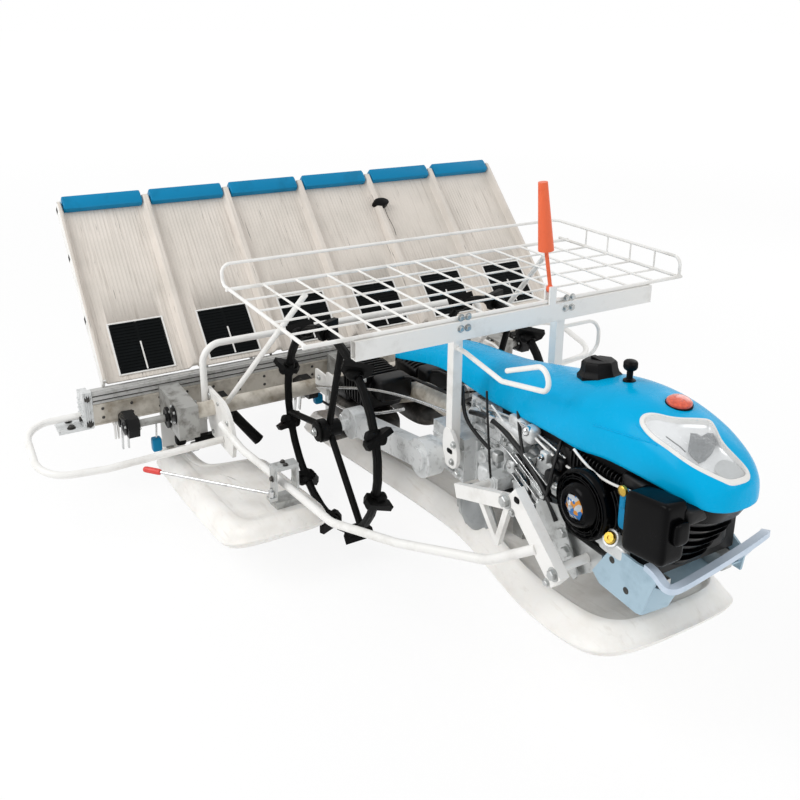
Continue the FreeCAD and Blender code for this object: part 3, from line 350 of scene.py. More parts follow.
# What each finish is on the real machine: sand-cast and die-cast alloy keep their skin, zinc
# plate is dull and even, powder coat has a fine orange peel, moulded plastic is smooth.
# name, record slot, base, second, patch mm, share, metallic, roughness, grain mm, depth mm, coat,
# specular level: black needs a low one, because a pale studio shows in every black surface
COMMON = [
    ("sand_cast_alloy", "cast_alloy", "#D8DADA", "#8C8C8A", 26, 0.36, 0.35, 0.36, 2.2, 0.5),
    ("grey_iron_casting", "case_iron", "#A9A9A6", "#57534C", 45, 0.5, 0.45, 0.55, 2.5, 0.4),
    ("beige_enamel_worn", "frame_grey", "#CFC9BE", "#8E8474", 70, 0.6, 0.0, 0.5, 6, 0.12),
    ("black_enamel", "engine_black", "#050506", "#131313", 40, 0.45, 0.0, 0.34, 5, 0.1, 0.0, 0.2),
    ("black_die_cast", "engine_cast", "#060607", "#181818", 30, 0.4, 0.0, 0.38, 1.8, 0.2, 0.0, 0.25),
    ("gloss_black_moulding", "cover_black", "#030304", "#070708", 90, 0.4, 0.0, 0.2, 14, 0.06, 0.03, 0.07),
    ("satin_black_moulding", "matt_black", "#050506", "#0E0E10", 50, 0.45, 0.0, 0.4, 1.2, 0.08, 0.0, 0.1),
    ("white_powder_coat", "white_tube", "#EEEDEA", "#CFCCC6", 120, 0.42, 0.0, 0.34, 3, 0.05),
    ("zinc_plate", "galvanised", "#BFC1C0", "#7B7A77", 35, 0.45, 0.85, 0.36, 1.6, 0.06),
    ("bright_steel", "galvanised", "#CDCECE", "#8D8C8A", 25, 0.4, 1.0, 0.22, 2.0, 0.03),
    ("dark_steel", "engine_black", "#3A3937", "#6B6660", 28, 0.5, 0.6, 0.45, 1.5, 0.1),
    ("blue_grey_enamel", "bumper_grey", "#A3BDCC", "#8AA5B5", 55, 0.45, 0.0, 0.33, 6, 0.06),
    # The bumper's hoop is the same enamel as its plates. This paler copy paints the light on its top: a
    # painted highlight
    ("bumper_enamel_painted_highlight", "bumper_grey", "#C6D4E4", "#AFC2D3", 55, 0.45, 0.0, 0.33, 6, 0.06),
    ("cap_blue_moulding", "cap_blue", "#0A80AF", "#08719A", 80, 0.4, 0.0, 0.35, 2, 0.05, 0.0, 0.15),
    ("orange_moulding", "pole_orange", "#EC6638", "#D9572E", 50, 0.4, 0.0, 0.38, 2, 0.05),
    ("red_marker_sleeve", "marker_red", "#D8433C", "#B93A36", 40, 0.4, 0.0, 0.4, 2, 0.05),
    ("red_enamel_faded", "gate_red", "#DB8473", "#C06B58", 60, 0.5, 0.0, 0.5, 5, 0.1),
    ("black_rubber", "wheel_black", "#050505", "#121211", 30, 0.45, 0.0, 0.55, 1.4, 0.15, 0.0, 0.12),
    ("wheel_rubber", "wheel_black", "#040404", "#111110", 30, 0.45, 0.0, 0.5, 1.4, 0.15, 0.0, 0.12),
    ("belt_rubber", "belt_black", "#040708", "#0B0F11", 40, 0.4, 0.0, 0.5, 1.0, 0.1, 0.0, 0.08),
    ("grip_rubber", "grip_black", "#0F0F10", "#1F1F20", 30, 0.4, 0.0, 0.7, 1.0, 0.12),
    ("cable_sheath", "grip_black", "#070708", "#171718", 30, 0.4, 0.0, 0.42, 3, 0.03, 0.0, 0.35),
    ("yellow_brass", "galvanised", "#C7A64A", "#8F7433", 12, 0.45, 0.9, 0.3, 1.2, 0.05),
    ("white_moulding", "white_tube", "#E9E8E5", "#CFCDC8", 60, 0.4, 0.0, 0.42, 3, 0.05),
    ("grey_lamp_panel", "lamp_clear", "#B9BBBB", "#A3A5A5", 30, 0.4, 0.0, 0.35, 3, 0.05),
    ("grey_moulding", "cast_alloy", "#8E9192", "#6F7273", 40, 0.4, 0.0, 0.4, 2, 0.05),
]
for row in COMMON:
    common_finish(*row)
print(len(MATERIALS), "common finishes")

# %% [markdown]
# ## Finishes with a pattern of their own
# Some surfaces need more than patches. The hood is blue moulded plastic under a clear gloss,
# with the faint long waves of a big moulding. The floats are blown from milky polyethylene,
# scuffed along the way they slide, and their sunk decks are darker with mud and painted shade.
# The lanes of the table are moulded with grooves that hold dried mud, so their stain runs up
# the slope, and thin dark lines up the slope paint the shade of the grooves: the coordinates are
# turned to lie along the table, then squeezed along it, which draws any noise out into long
# streaks.

# %% Hood: blue moulded plastic, IOR 1.5, with the gloss of its mould and a little dust
def hood_finish():
    """A thin clear coat carries the gloss, and waves 70 mm long bend what it mirrors. The
    specular level is low, because a pale studio would bleach the blue."""
    tree, place = new_material("hood_blue_moulding", "hood_blue")
    haze = add(tree, "TexNoise", {"Vector": place, "Scale": 1 / (160 * MM), "Detail": 4.0})
    specks = add(tree, "TexNoise", {"Vector": place, "Scale": 1 / (9 * MM), "Detail": 8.0, "Roughness": 0.7})
    wear = add(tree, "TexNoise", {"Vector": place, "Scale": 1 / (24 * MM), "Detail": 6.0})
    waves = add(tree, "TexNoise", {"Vector": place, "Scale": 1 / (70 * MM), "Detail": 1.0})
    fresh = blend(tree, haze, 0.42, 0.75, "#00ABE0", "#00A3D4")
    dusty = blend(tree, specks, 0.62, 0.85, fresh, "#3DB0DA", most=0.12)
    finish_surface(tree, {"Base Color": dusty, "Specular IOR Level": 0.06,
                          "Coat Weight": 0.04, "Coat Roughness": 0.06,
                          "Roughness": add(tree, "MapRange", {0: wear, 1: 0.3, 2: 0.8, 3: 0.18, 4: 0.36}),
                          "Normal": add(tree, "Bump", {"Height": waves, "Distance": 0.25 * MM})})


hood_finish()
print("hood:", list(MATERIALS)[-1])

# %% Floats: blow-moulded polyethylene, milky, so light goes a little way in
def float_finish(name, clean, scuffed, mud, most):
    """Scuffs 14 mm apart run fore and aft, and a thin film of mud lies in broad patches."""
    tree, place = new_material(name, "float_white")
    drawn = add(tree, "Mapping", {"Vector": place, "Scale": (0.12, 1, 1)})
    scratches = add(tree, "TexNoise", {"Vector": drawn, "Scale": 1 / (14 * MM), "Detail": 6.0,
                                       "Roughness": 0.6})
    film = add(tree, "TexNoise", {"Vector": place, "Scale": 1 / (110 * MM), "Detail": 7.0, "Roughness": 0.6})
    uneven = add(tree, "TexNoise", {"Vector": place, "Scale": 1 / (30 * MM), "Detail": 3.0})
    scuffs = add(tree, "MapRange", {0: scratches, 1: 0.55, 2: 0.8})
    milky = add(tree, "Mix", {0: scuffs, 6: clean, 7: scuffed}, 2, data_type="RGBA")
    finish_surface(tree, {"Base Color": blend(tree, film, 0.45, 0.75, milky, mud, most), "IOR": 1.5,
                          "Subsurface Weight": 0.15, "Subsurface Radius": (0.012, 0.010, 0.008),
                          "Subsurface Scale": 1.0,
                          "Roughness": add(tree, "MapRange", {0: scuffs, 3: 0.38, 4: 0.55}),
                          "Normal": add(tree, "Bump", {"Height": uneven, "Distance": 0.4 * MM})})


# name, clean, scuffed, mud, most mud
float_finish("float_polyethylene", "#F4F2EE", "#E2DED8", "#CFC8BD", 0.4)
# The sunk deck is the same polyethylene as the hull. Its darker clean, scuffed and mud colours are partly mud
# and partly painted shade
float_finish("float_deck_mud_and_painted_shade", "#F2EFEA", "#DEDAD3", "#B9B1A6", 0.5)
print("floats:", list(MATERIALS)[-2:])

# %% Lanes: warm grey moulded plastic with dried mud drawn out along them, and thin dark lines of painted groove shade
def lane_finish():
    """Coordinates turned flat on the table and squeezed up the slope turn noise into streaks: pale ones of
    dried mud, and thin dark lines that paint the shade of the grooves.
    """
    tree, place = new_material("lane_moulding", "table_beige")
    level = add(tree, "Mapping", {"Vector": place, "Rotation": (0, -TABLE_LEAN, 0)})
    drawn = add(tree, "Mapping", {"Vector": level, "Scale": (0.035, 1, 0.2)})
    streaks = add(tree, "TexNoise", {"Vector": drawn, "Scale": 1 / (11 * MM), "Detail": 7.0,
                                     "Roughness": 0.66})
    # Thin lines drawn up the slope: the mask of the painted shade of the grooves
    lines = add(tree, "TexNoise", {"Vector": drawn, "Scale": 1 / (4.5 * MM), "Detail": 4.0,
                                   "Roughness": 0.55})
    broad = add(tree, "TexNoise", {"Vector": place, "Scale": 1 / (130 * MM), "Detail": 5.0})
    grain = add(tree, "TexNoise", {"Vector": place, "Scale": 1 / (2.4 * MM), "Detail": 4.0})
    clean = blend(tree, broad, 0.4, 0.7, "#DDD5CC", "#D2CBC2")
    stained = blend(tree, streaks, 0.55, 0.74, clean, "#A89E94", most=0.75)
    # 4A4540 in the thin lines is painted shade of the grooves
    lanes_with_painted_groove_shade = blend(tree, lines, 0.66, 0.74, stained, "#4A4540", most=0.85)
    finish_surface(tree, {"Base Color": lanes_with_painted_groove_shade, "IOR": 1.47,
                          "Roughness": add(tree, "MapRange", {0: streaks, 1: 0.3, 2: 0.7, 3: 0.5, 4: 0.68}),
                          "Normal": add(tree, "Bump", {"Height": grain, "Distance": 0.12 * MM})})


lane_finish()
print("lanes:", list(MATERIALS)[-1])

# %% Rail: extruded alloy with fine die lines along it, dulled and spotted by water
def rail_finish():
    """Die lines come from noise drawn out fifty times along the rail."""
    tree, place = new_material("extruded_alloy", "rail_alloy")
    drawn = add(tree, "Mapping", {"Vector": place, "Scale": (1, 0.02, 1)})
    lines = add(tree, "TexNoise", {"Vector": drawn, "Scale": 1 / (1.6 * MM), "Detail": 4.0})
    damp = add(tree, "TexNoise", {"Vector": place, "Scale": 1 / (26 * MM), "Detail": 8.0, "Roughness": 0.65})
    spots = add(tree, "MapRange", {0: damp, 1: 0.5, 2: 0.78})
    spotted = add(tree, "Mix", {0: spots, 6: "#BEBEBC", 7: "#84827C"}, 2, data_type="RGBA")
    finish_surface(tree, {"Base Color": spotted, "Metallic": 0.5,
                          "Roughness": add(tree, "MapRange", {0: spots, 3: 0.46, 4: 0.66}),
                          "Normal": add(tree, "Bump", {"Height": lines, "Distance": 0.12 * MM})})


rail_finish()
print("rail:", list(MATERIALS)[-1])

# %% Lamp and reflector: chrome on plastic, a clear lens, smoked glass and moulded prisms
def bowl_and_lens():
    """The bowl's chrome is rippled, and the lens is nearly clear, dulled a little by wear."""
    tree, place = new_material("chromed_reflector", "lamp_clear")
    ripple = add(tree, "TexNoise", {"Vector": place, "Scale": 1 / (14 * MM), "Detail": 3.0})
    finish_surface(tree, {"Base Color": "#F2F3F4", "Metallic": 0.35,
                          "Roughness": add(tree, "MapRange", {0: ripple, 1: 0.3, 2: 0.8, 3: 0.14, 4: 0.3}),
                          "Normal": add(tree, "Bump", {"Height": ripple, "Distance": 0.2 * MM})})
    tree, place = new_material("clear_lens_moulding", "lamp_clear")
    worn = add(tree, "TexNoise", {"Vector": place, "Scale": 1 / (30 * MM), "Detail": 4.0})
    finish_surface(tree, {"Base Color": "#F4F8FA", "Alpha": 0.16, "IOR": 1.49,
                          "Roughness": add(tree, "MapRange", {0: worn, 1: 0.4, 2: 0.8, 3: 0.02, 4: 0.12})})


def facet_finish(name, slot, size, low, high, metallic, coat, depth):
    """Cells of a size in millimetres make the facets of smoked glass and of moulded prisms."""
    tree, place = new_material(name, slot)
    cells = add(tree, "TexVoronoi", {"Vector": place, "Scale": 1 / (size * MM)}, "Distance")
    finish_surface(tree, {"Base Color": blend(tree, cells, 0.1, 0.75, low, high), "Metallic": metallic,
                          "Coat Weight": coat, "Roughness": 0.2,
                          "Normal": add(tree, "Bump", {"Height": cells, "Distance": depth * MM})})


def chrome_facets_with_painted_glints():
    """Cells 9 mm across take a grey each, from dull to bright, and some are blue or amber: painted glints and
    reflections of the chrome facets.
    """
    tree, place = new_material("chrome_facets_painted_glints", "galvanised")
    cells = add(tree, "TexVoronoi", {"Vector": place, "Scale": 1 / (9 * MM)}, "Color")
    parts = add(tree, "SeparateColor", {"Color": cells}, "Red").node.outputs
    grey = add(tree, "Mix", {0: parts["Blue"], 6: "#9FA6AB", 7: "#F2F4F5"}, 2, data_type="RGBA")
    blue = blend(tree, parts["Red"], 0.66, 0.67, grey, "#2D6FB0")
    amber = blend(tree, parts["Green"], 0.74, 0.75, blue, "#D08A35")
    finish_surface(tree, {"Base Color": amber, "Metallic": 0.6, "Roughness": 0.25})


bowl_and_lens()
# name, slot, cell mm, low, high, metallic, coat, bump mm
facet_finish("smoked_lamp_glass", "lamp_clear", 5, "#0E1214", "#454C50", 0.1, 0.0, 1.2)
facet_finish("reflector_orange_prisms", "reflector_orange", 6, "#EE5F36", "#C9421F", 0.0, 0.8, 0.5)
chrome_facets_with_painted_glints()
print("lamp and reflector:", list(MATERIALS)[-5:], "-", len(MATERIALS), "finishes in all")

# %% [markdown]
# ## From patches to pieces
# A piece is one mesh with one finish that rides on one body of the machine. Its points are
# written in one go, its faces are made to point outwards, and edges sharper than an angle
# stay crisp. A Bevel modifier can break the edges, as every real casting and plate has them.

# %% Make a piece
def piece(name, patches, finish, body="machine", bevel=0.0, wall=0.0, sharp=38, weld=False, seam=0,
          stands_for=()):
    """One mesh from patches, riding on a body. bevel is the width of its broken edges and wall the
    thickness that a sheet gets on its inner side, in millimetres. sharp is in degrees. weld joins
    points that meet, and seam is the most edges of a gap that is then filled."""
    points = np.concatenate([points for points, faces in patches])
    shifts = np.cumsum([0] + [len(points) for points, faces in patches[:-1]])
    groups = [faces + shift for (_, made), shift in zip(patches, shifts) for faces in made]
    loops = np.concatenate([group.ravel() for group in groups])
    sizes = np.concatenate([np.full(len(group), group.shape[1]) for group in groups])
    mesh = bpy.data.meshes.new(name)
    mesh.vertices.add(len(points))
    mesh.vertices.foreach_set("co", points.astype(np.float32).ravel())
    mesh.loops.add(len(loops))
    mesh.loops.foreach_set("vertex_index", loops.astype(np.int32))
    mesh.polygons.add(len(sizes))
    mesh.polygons.foreach_set("loop_start", (np.cumsum(sizes) - sizes).astype(np.int32))
    mesh.update(calc_edges=True)
    work = bmesh.new()
    work.from_mesh(mesh)
    if weld:
        bmesh.ops.remove_doubles(work, verts=work.verts, dist=0.02 * MM)
    if seam:
        open_edges = [edge for edge in work.edges if edge.is_boundary]
        filled = bmesh.ops.holes_fill(work, edges=open_edges, sides=seam)
        print(name, "has", len(open_edges), "open edges and", len(filled["faces"]), "filled gaps")
    bmesh.ops.recalc_face_normals(work, faces=work.faces)
    work.to_mesh(mesh)
    work.free()
    mesh.polygons.foreach_set("use_smooth", np.ones(len(mesh.polygons), bool))
    mesh.set_sharp_from_angle(angle=math.radians(sharp))
    mesh.materials.append(MATERIALS[finish])
    made = bpy.data.objects.new(name, mesh)
    bpy.context.scene.collection.objects.link(made)
    if bevel:
        edge = made.modifiers.new("edge", "BEVEL")
        edge.width = bevel * MM
        edge.segments = 2
        edge.limit_method = "ANGLE"
        edge.angle_limit = math.radians(sharp)
        edge.harden_normals = True
    if wall:
        sheet = made.modifiers.new("wall", "SOLIDIFY")
        sheet.thickness = wall * MM
        sheet.offset = -1
    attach(made, body)
    if stands_for:
        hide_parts(*stands_for)
    print(f"{name}: {len(mesh.polygons)} faces on {body}")
    return made


# %% [markdown]
# ## Finishes on the solids
# Most solids keep their shape and only take a finish, so one table is enough.

# %% Give every solid its finish
NODE_FINISH = {
    "white_powder_coat": ["seedling_rack", "rack_beam", "rack_posts", "rack_struts", "rack_hooks",
                          "table_hoop", "guard_loops", "side_guards", "guard_brackets", "side_brackets",
                          "handlebars"],
    "sand_cast_alloy": ["transmission", "swing_case_right", "swing_case_left", "rail_ends"],
    "grey_iron_casting": ["planting_cases"],
    "beige_enamel_worn": ["frame_spine", "cross_tube", "planting_beam"],
    "black_enamel": ["planting_arms"],
    "black_die_cast": ["engine_block"],
    "gloss_black_moulding": ["recoil_starter", "muffler_cover"],
    "satin_black_moulding": ["front_grille", "oil_filler", "fuel_cap", "console"],
    "zinc_plate": ["engine_bed", "float_hinges", "float_stays", "upper_guide"],
    "blue_grey_enamel": ["bumper"],
    "cap_blue_moulding": ["table_caps"],
    "orange_moulding": ["sighting_pole"],
    "red_marker_sleeve": ["marker_right", "marker_left"],
    "red_enamel_faded": ["gate_plate"],
    "wheel_rubber": ["wheel_right", "wheel_left"],
    "belt_rubber": ["table_belts"],
    "grip_rubber": ["grips"],
    "cable_sheath": ["cables"],
    "hood_blue_moulding": ["hood"],
    "float_polyethylene": ["float_centre", "float_sides"],
    "lane_moulding": ["table_panel"],
    "extruded_alloy": ["table_rail"],
    "reflector_orange_prisms": ["reflector"],
    "chromed_reflector": ["headlamp"],
}
for finish, names in NODE_FINISH.items():
    for name in names:
        nodes[name].data.materials.clear()
        nodes[name].data.materials.append(MATERIALS[finish])
left_plain = sorted(set(nodes) - {name for names in NODE_FINISH.values() for name in names})
print("solids without a finish:", left_plain)

# %% [markdown]
# ## The hood
# The hood is one thin blue moulding over the tank and the engine, narrow at the rear, broad
# over the engine and blunt at the nose. A loft between a few arcs would show flat bands, so
# the skin is a formula: across the machine each section is a superellipse, an arch between a
# rectangle and an ellipse, and along the machine its middle, half width, lower edge and crown
# run through a short table as smooth curves. The same formula gives the height of the skin at
# any place, so the lamp, the caps and two soft folds can sit on it.

# %% Hood skin
# x from the axle, middle, half width, lower edge, crown, in millimetres
HOOD_LINES = [
    (-20, 0, 55, 500, 560),
    (240, 0, 66, 563, 628),
    (420, 0, 77, 568, 650),
    (520, 0, 88, 574, 664),
    (700, 0, 110, 598, 703),
    (790, 0, 118, 608, 727),
    (880, -3, 121, 614, 746),
    (960, -6, 118.5, 629, 752),
    (1030, -9, 114.5, 634, 747),
    (1100, -13, 106.5, 634, 732),
    (1160, -17, 92, 627, 709),
    (1198, -20, 70, 621, 690),
    (1217, -22, 45, 620, 677),
    (1224, -23, 22, 620, 668),
    (1225.5, -23, 0, 620, 662),
]
ARCH = 2.6
hood_rows = through(HOOD_LINES, 14)


def hood_arch(rows, turn):
    """Superellipse arch over half a turn: y = middle - half cos^(2/n), z = low + rise sin^(2/n)."""
    x, middle, half, low, crown = rows.T[:, :, None]
    reach = np.sign(np.cos(turn)) * np.abs(np.cos(turn)) ** (2 / ARCH)
    rise = np.abs(np.sin(turn)) ** (2 / ARCH)
    arch = np.broadcast_arrays(x, middle - half * reach, low + (crown - low) * rise)
    return ahead(np.stack(arch, axis=-1))


def on_hood(plan, lift=0.0):
    """Points of the skin over places (x, y) in millimetres: low + rise (1 - |y/half|^n)^(1/n) + lift."""
    plan = np.asarray(plan, float)
    middle, half, low, crown = [np.interp(plan[..., 0], hood_rows[:, 0], line) for line in hood_rows.T[1:]]
    reach = np.minimum(np.abs(plan[..., 1] - middle) / np.maximum(half, 1), 1)
    z = low + (crown - low) * (1 - reach ** ARCH) ** (1 / ARCH) + lift
    return ahead(np.stack([plan[..., 0], plan[..., 1], z], axis=-1))


# Corners of the lamp's plan, from its rear edge round its right side, nose and left side
LAMP_CORNERS = [
    (1013, -68), (1011, -92), (1052, -101), (1088, -99), (1128, -95), (1164, -86), (1196, -68),
    (1216, -50), (1219, -12), (1205, 2), (1176, -3), (1142, -4), (1110, 14), (1088, 24), (1080, 2),
    (1060, -46),
]
OPENING = 0.985
lamp_edge = rounded_loop(LAMP_CORNERS, 6)
lamp_middle = lamp_edge.mean(axis=0)


def inside_loop(points, loop):
    """True where a place lies inside a closed loop, by counting the loop's crossings."""
    x, y = points[:, None, 0], points[:, None, 1]
    start, end = loop, np.roll(loop, -1, axis=0)
    crosses = (start[:, 1] > y) != (end[:, 1] > y)
    rise = np.where(end[:, 1] == start[:, 1], 1.0, end[:, 1] - start[:, 1])
    crossing = start[:, 0] + (y - start[:, 1]) / rise * (end[:, 0] - start[:, 0])
    return (crosses & (x < crossing)).sum(axis=1) % 2 == 1


def hood_skin():
    """The arches as one grid, with the lamp's opening left out of its faces."""
    points, (quads,) = grid(hood_arch(hood_rows, np.linspace(0, np.pi, 145)[None, :]))
    plan = (points[quads].mean(axis=1) - (AXLE[0], 0, 0))[:, :2] / MM
    opening = lamp_middle + (lamp_edge - lamp_middle) * OPENING
    return points, [quads[~inside_loop(plan, opening)]]


piece("hood_skin", [hood_skin()], "hood_blue_moulding", weld=True, sharp=50, wall=2.5, stands_for=["hood"])

# %% [markdown]
# ## The lamp, the caps and the reflector
# The lamp lies in the nose under a clear lens: a pale bezel, a chromed bowl, a smoked bulb
# cover and a grey panel in front. Every part follows the outline of the lamp, so each is a
# dish: rings that shrink from the outline towards its middle, each at its own depth under the
# skin.

# %% Lamp
def dish(loop, rings):
    """Rings (share of the outline's size, lift over the skin in mm) closed by a small last one."""
    centre = loop.mean(axis=0)
    return grid(np.stack([on_hood(centre + (loop - centre) * size, lift) for size, lift in rings]), wrap=True)


def slab(loop, low, high, inset):
    """A closed pad between two depths under the skin, with a bevelled top edge."""
    return dish(loop, [(0.001, low), (1.0, low), (1.0, high - 1.0), (inset, high), (0.001, high)])


SMOKED = [(1097, -40), (1104, -29), (1112, -26), (1109, -6), (1114, 5), (1132, -6), (1142, -28), (1148, -51),
          (1146, -66), (1129, -68), (1117, -65), (1108, -53)]
PANEL = [(1175, -61), (1169, -38), (1170, -24), (1183, -10), (1196, -5), (1208, -9), (1216, -22),
         (1217, -38), (1210, -49), (1194, -58)]
BEZEL = [(0.925, -9), (0.94, -1.0), (0.955, 2.0), (0.995, 2.3), (1.03, 1.2), (1.035, -2.5)]
BOWL = [(0.965, -2), (0.94, -11), (0.80, -17), (0.5, -21), (0.2, -22), (0.001, -22)]
LENS = [(0.945, 0.8), (0.92, 1.6), (0.8, 2.4), (0.5, 3.0), (0.001, 3.2)]
piece("lamp_bezel", [dish(lamp_edge, BEZEL)], "white_moulding", sharp=60, stands_for=["headlamp"])
piece("lamp_bowl", [dish(lamp_edge, BOWL)], "chromed_reflector", sharp=60, weld=True)
piece("lamp_cover_smoked", [slab(np.array(SMOKED, float), -20, -6, 0.8)], "smoked_lamp_glass", sharp=20,
      weld=True)
piece("lamp_panel", [slab(rounded_loop(PANEL, 4), -20, -5, 0.92)], "grey_lamp_panel", sharp=30, weld=True)
seam = smooth([(1074, -80), (1094, -79), (1108, -77), (1122, -77)], 4)
piece("lamp_seam", [tube(on_hood(seam, -9), 1.3, 8)], "satin_black_moulding")
piece("lamp_lens", [dish(lamp_edge, LENS)], "clear_lens_moulding", sharp=60, weld=True, wall=1.5)

# Two soft folds of the hood beside the lamp: thin tubes sunk 0.7 mm, so a low round ridge is left
creases = [[(912, -117), (970, -116), (1026, -112), (1074, -103)], [(1012, -98), (1044, -102), (1075, -104)]]
piece("hood_creases", [tube(on_hood(smooth(plan), -0.7), 2, 10) for plan in creases], "hood_blue_moulding",
      sharp=60)

# %% Fuel cap, knob and reflector
def fuel_cap():
    """An eight-sided cap in steps with a grip bar, and a knob on a short stem."""
    seat, root = on_hood((795, 0)), on_hood((886, 0))
    steps = [(50, -9), (50, 3), (44, 9), (41, 17), (39.5, 30), (36, 34.5), (30, 35.5)]
    cap = turned(steps, seat, (-0.12, 0, 1), sides=8)
    grip = block(seat + np.array((-26, -7, 33)) * MM, seat + np.array((26, 7, 38)) * MM)
    stem = turned([(14, -4), (14, 3), (7, 6), (7, 28)], root, TO_TOP, sides=20)
    knob = turned([(7, 24), (13, 27), (16, 33), (16, 41), (13, 46), (6, 48)], root, TO_TOP, sides=12)
    return [cap, grip, stem, knob]


reflector = {"centre": on_hood((1024, 3)), "axis": (0.12, -0.05, 1), "sides": 40}
base, prisms = [(28, -6), (28, 1.5), (26, 3.5)], [(26, 3), (25.5, 7), (21, 11), (12, 13.2), (0.5, 13.8)]
piece("fuel_cap_and_knob", fuel_cap(), "satin_black_moulding", bevel=1.2, sharp=30, stands_for=["fuel_cap"])
piece("reflector_base", [turned(base, **reflector)], "satin_black_moulding")
piece("reflector_prisms", [turned(prisms, **reflector)], "reflector_orange_prisms", stands_for=["reflector"])

# %% [markdown]
# ## The floats
# The three floats are blow-moulded polyethylene: everything about them is round, with a rim
# round a sunk deck and a nose that lifts. One profile of pairs (inset, height) is carried
# round the plan outline. Each place on the outline draws in towards the nearest place of a
# middle line, so that the rings never cross however narrow the tail is.

# %% Float hulls and decks
FLOAT_TAIL, FLOAT_TILT, FLOAT_TALL = -640, math.radians(7.5), 84
NOSE_RISE, NOSE_LIFT, SPINE_ROUNDS, CLOSEST, GAP_EDGES = 130, 34, 16, 0.96, 70
CENTRE_PLAN = [
    (-640, -60), (-636, -92), (-600, -102), (-200, -104), (350, -106), (560, -142), (790, -200),
    (900, -214), (1010, -216), (1086, -196), (1128, -146), (1142, -60),
]
CENTRE_PLAN += [(x, -y) for x, y in reversed(CENTRE_PLAN)]
SIDE_PLAN = [
    (-640, -610), (-636, -636), (-610, -646), (-300, -662), (90, -664), (150, -654), (192, -622),
    (207, -570), (207, -440), (196, -390), (160, -360), (110, -353), (-250, -353), (-302, -358),
    (-322, -392), (-336, -496), (-362, -524), (-600, -524), (-636, -532), (-640, -556),
]
CENTRE_SPINE = [(-560, 0), (950, 0)]
SIDE_SPINE = [(-580, -585), (-300, -585), (-180, -510), (60, -510)]
CENTRE_HULL = [(70, 0), (34, 1), (16, 6), (7, 13), (3, 20), (0.6, 22), (0.6, 25), (4, 28), (12, 42), (24, 60),
               (34, 73), (41, 79), (48, 81)]
CENTRE_DECK = [(48, 81), (53, 79), (58, 72), (63, 65), (70, 62), (84, 61)]
SIDE_HULL = [(70, 0), (34, 1), (16, 6), (7, 13), (3, 20), (0.6, 22), (0.6, 25), (3, 28), (8, 44), (17, 62),
             (29, 75), (42, 80), (60, 82)]
SIDE_DECK = [(60, 82), (63, 80.5), (67, 79), (90, 80)]


def nearest_on(spine, places):
    """The nearest point of a chain of straight runs to each place."""
    start, run = spine[:-1], np.diff(spine, axis=0)
    share = ((places[:, None] - start) * run).sum(axis=2) / (run ** 2).sum(axis=1)
    feet = start + np.clip(share, 0, 1)[..., None] * run
    best = np.linalg.norm(places[:, None] - feet, axis=2).argmin(axis=1)
    return feet[np.arange(len(places)), best]


def float_rings(plan, spine, profile, closed_at):
    """A patch of rings from (inset, height) pairs, leant nose up about the tail.
    The feet on the middle line are evened out, so that none of its bend is skipped.
    Height h becomes lift + h (tall - lift) / tall, where the nose's lift grows with the square of x."""
    loop, spine = rounded_loop(plan, 5), smooth(spine, 8)[1:]
    foot = nearest_on(spine, loop)
    for _ in range(SPINE_ROUNDS):
        foot = nearest_on(spine, (np.roll(foot, 1, 0) + 2 * foot + np.roll(foot, -1, 0)) / 4)
    gap = np.linalg.norm(loop - foot, axis=1, keepdims=True)
    nose = loop[:, 0].max()
    rings = [np.insert(loop + (foot - loop) / gap * np.minimum(inset, gap * CLOSEST), 2, height, axis=1)
             for inset, height in profile]
    middle = np.insert(foot, 2, profile[closed_at][1], axis=1)
    rings.insert(0 if closed_at == 0 else len(rings), middle)
    points = np.stack(rings)
    rise = np.clip((points[..., 0] - (nose - NOSE_RISE)) / NOSE_RISE, 0, 1) ** 2 * NOSE_LIFT
    points[..., 2] = rise + points[..., 2] * (FLOAT_TALL - rise) / FLOAT_TALL
    x, z = points[..., 0] - FLOAT_TAIL, points[..., 2].copy()
    points[..., 0] = FLOAT_TAIL + x * math.cos(FLOAT_TILT) - z * math.sin(FLOAT_TILT)
    points[..., 2] = x * math.sin(FLOAT_TILT) + z * math.cos(FLOAT_TILT)
    return grid(ahead(points), wrap=True)


blown = {"weld": True, "seam": GAP_EDGES, "sharp": 60}
hull = float_rings(CENTRE_PLAN, CENTRE_SPINE, CENTRE_HULL, 0)
side_hull = float_rings(SIDE_PLAN, SIDE_SPINE, SIDE_HULL, 0)
deck = float_rings(CENTRE_PLAN, CENTRE_SPINE, CENTRE_DECK, -1)
side_deck = float_rings(SIDE_PLAN, SIDE_SPINE, SIDE_DECK, -1)
piece("float_hull_centre", [hull], "float_polyethylene", stands_for=["float_centre"], **blown)
piece("float_hulls_side", both([side_hull, side_deck]), "float_polyethylene", stands_for=["float_sides"],
      **blown)
# The centre deck takes the darker deck finish: mud, with painted shade
piece("float_deck_centre", [deck], "float_deck_mud_and_painted_shade", **blown)

# %% [markdown]
# ## The seedling table
# The table is six vacuum-formed lanes: a floor with fine lengthwise ribs, between round-topped
# walls that blend into it. It is one height field: the height over the floor is a function of
# the place across, times a factor that rounds the walls off at the table's two ends. The
# belts' windows are left out of its faces, and Solidify gives the sheet its thickness.

# %% Lanes
WINDOW_LOW, WINDOW_HIGH, WINDOW_HALF = 0.022, 0.202, 0.0875
LANE_MIDDLES = (np.arange(6) - 2.5) * LANE_PITCH
RIDGES = (np.arange(7) - 3) * LANE_PITCH
RIB_STEP, RIB_HEIGHT = 0.0125, 0.0011
WALL_FLAT, WALL_SLOPE, FLOOR_STARTS = 0.007, 0.014, 0.024


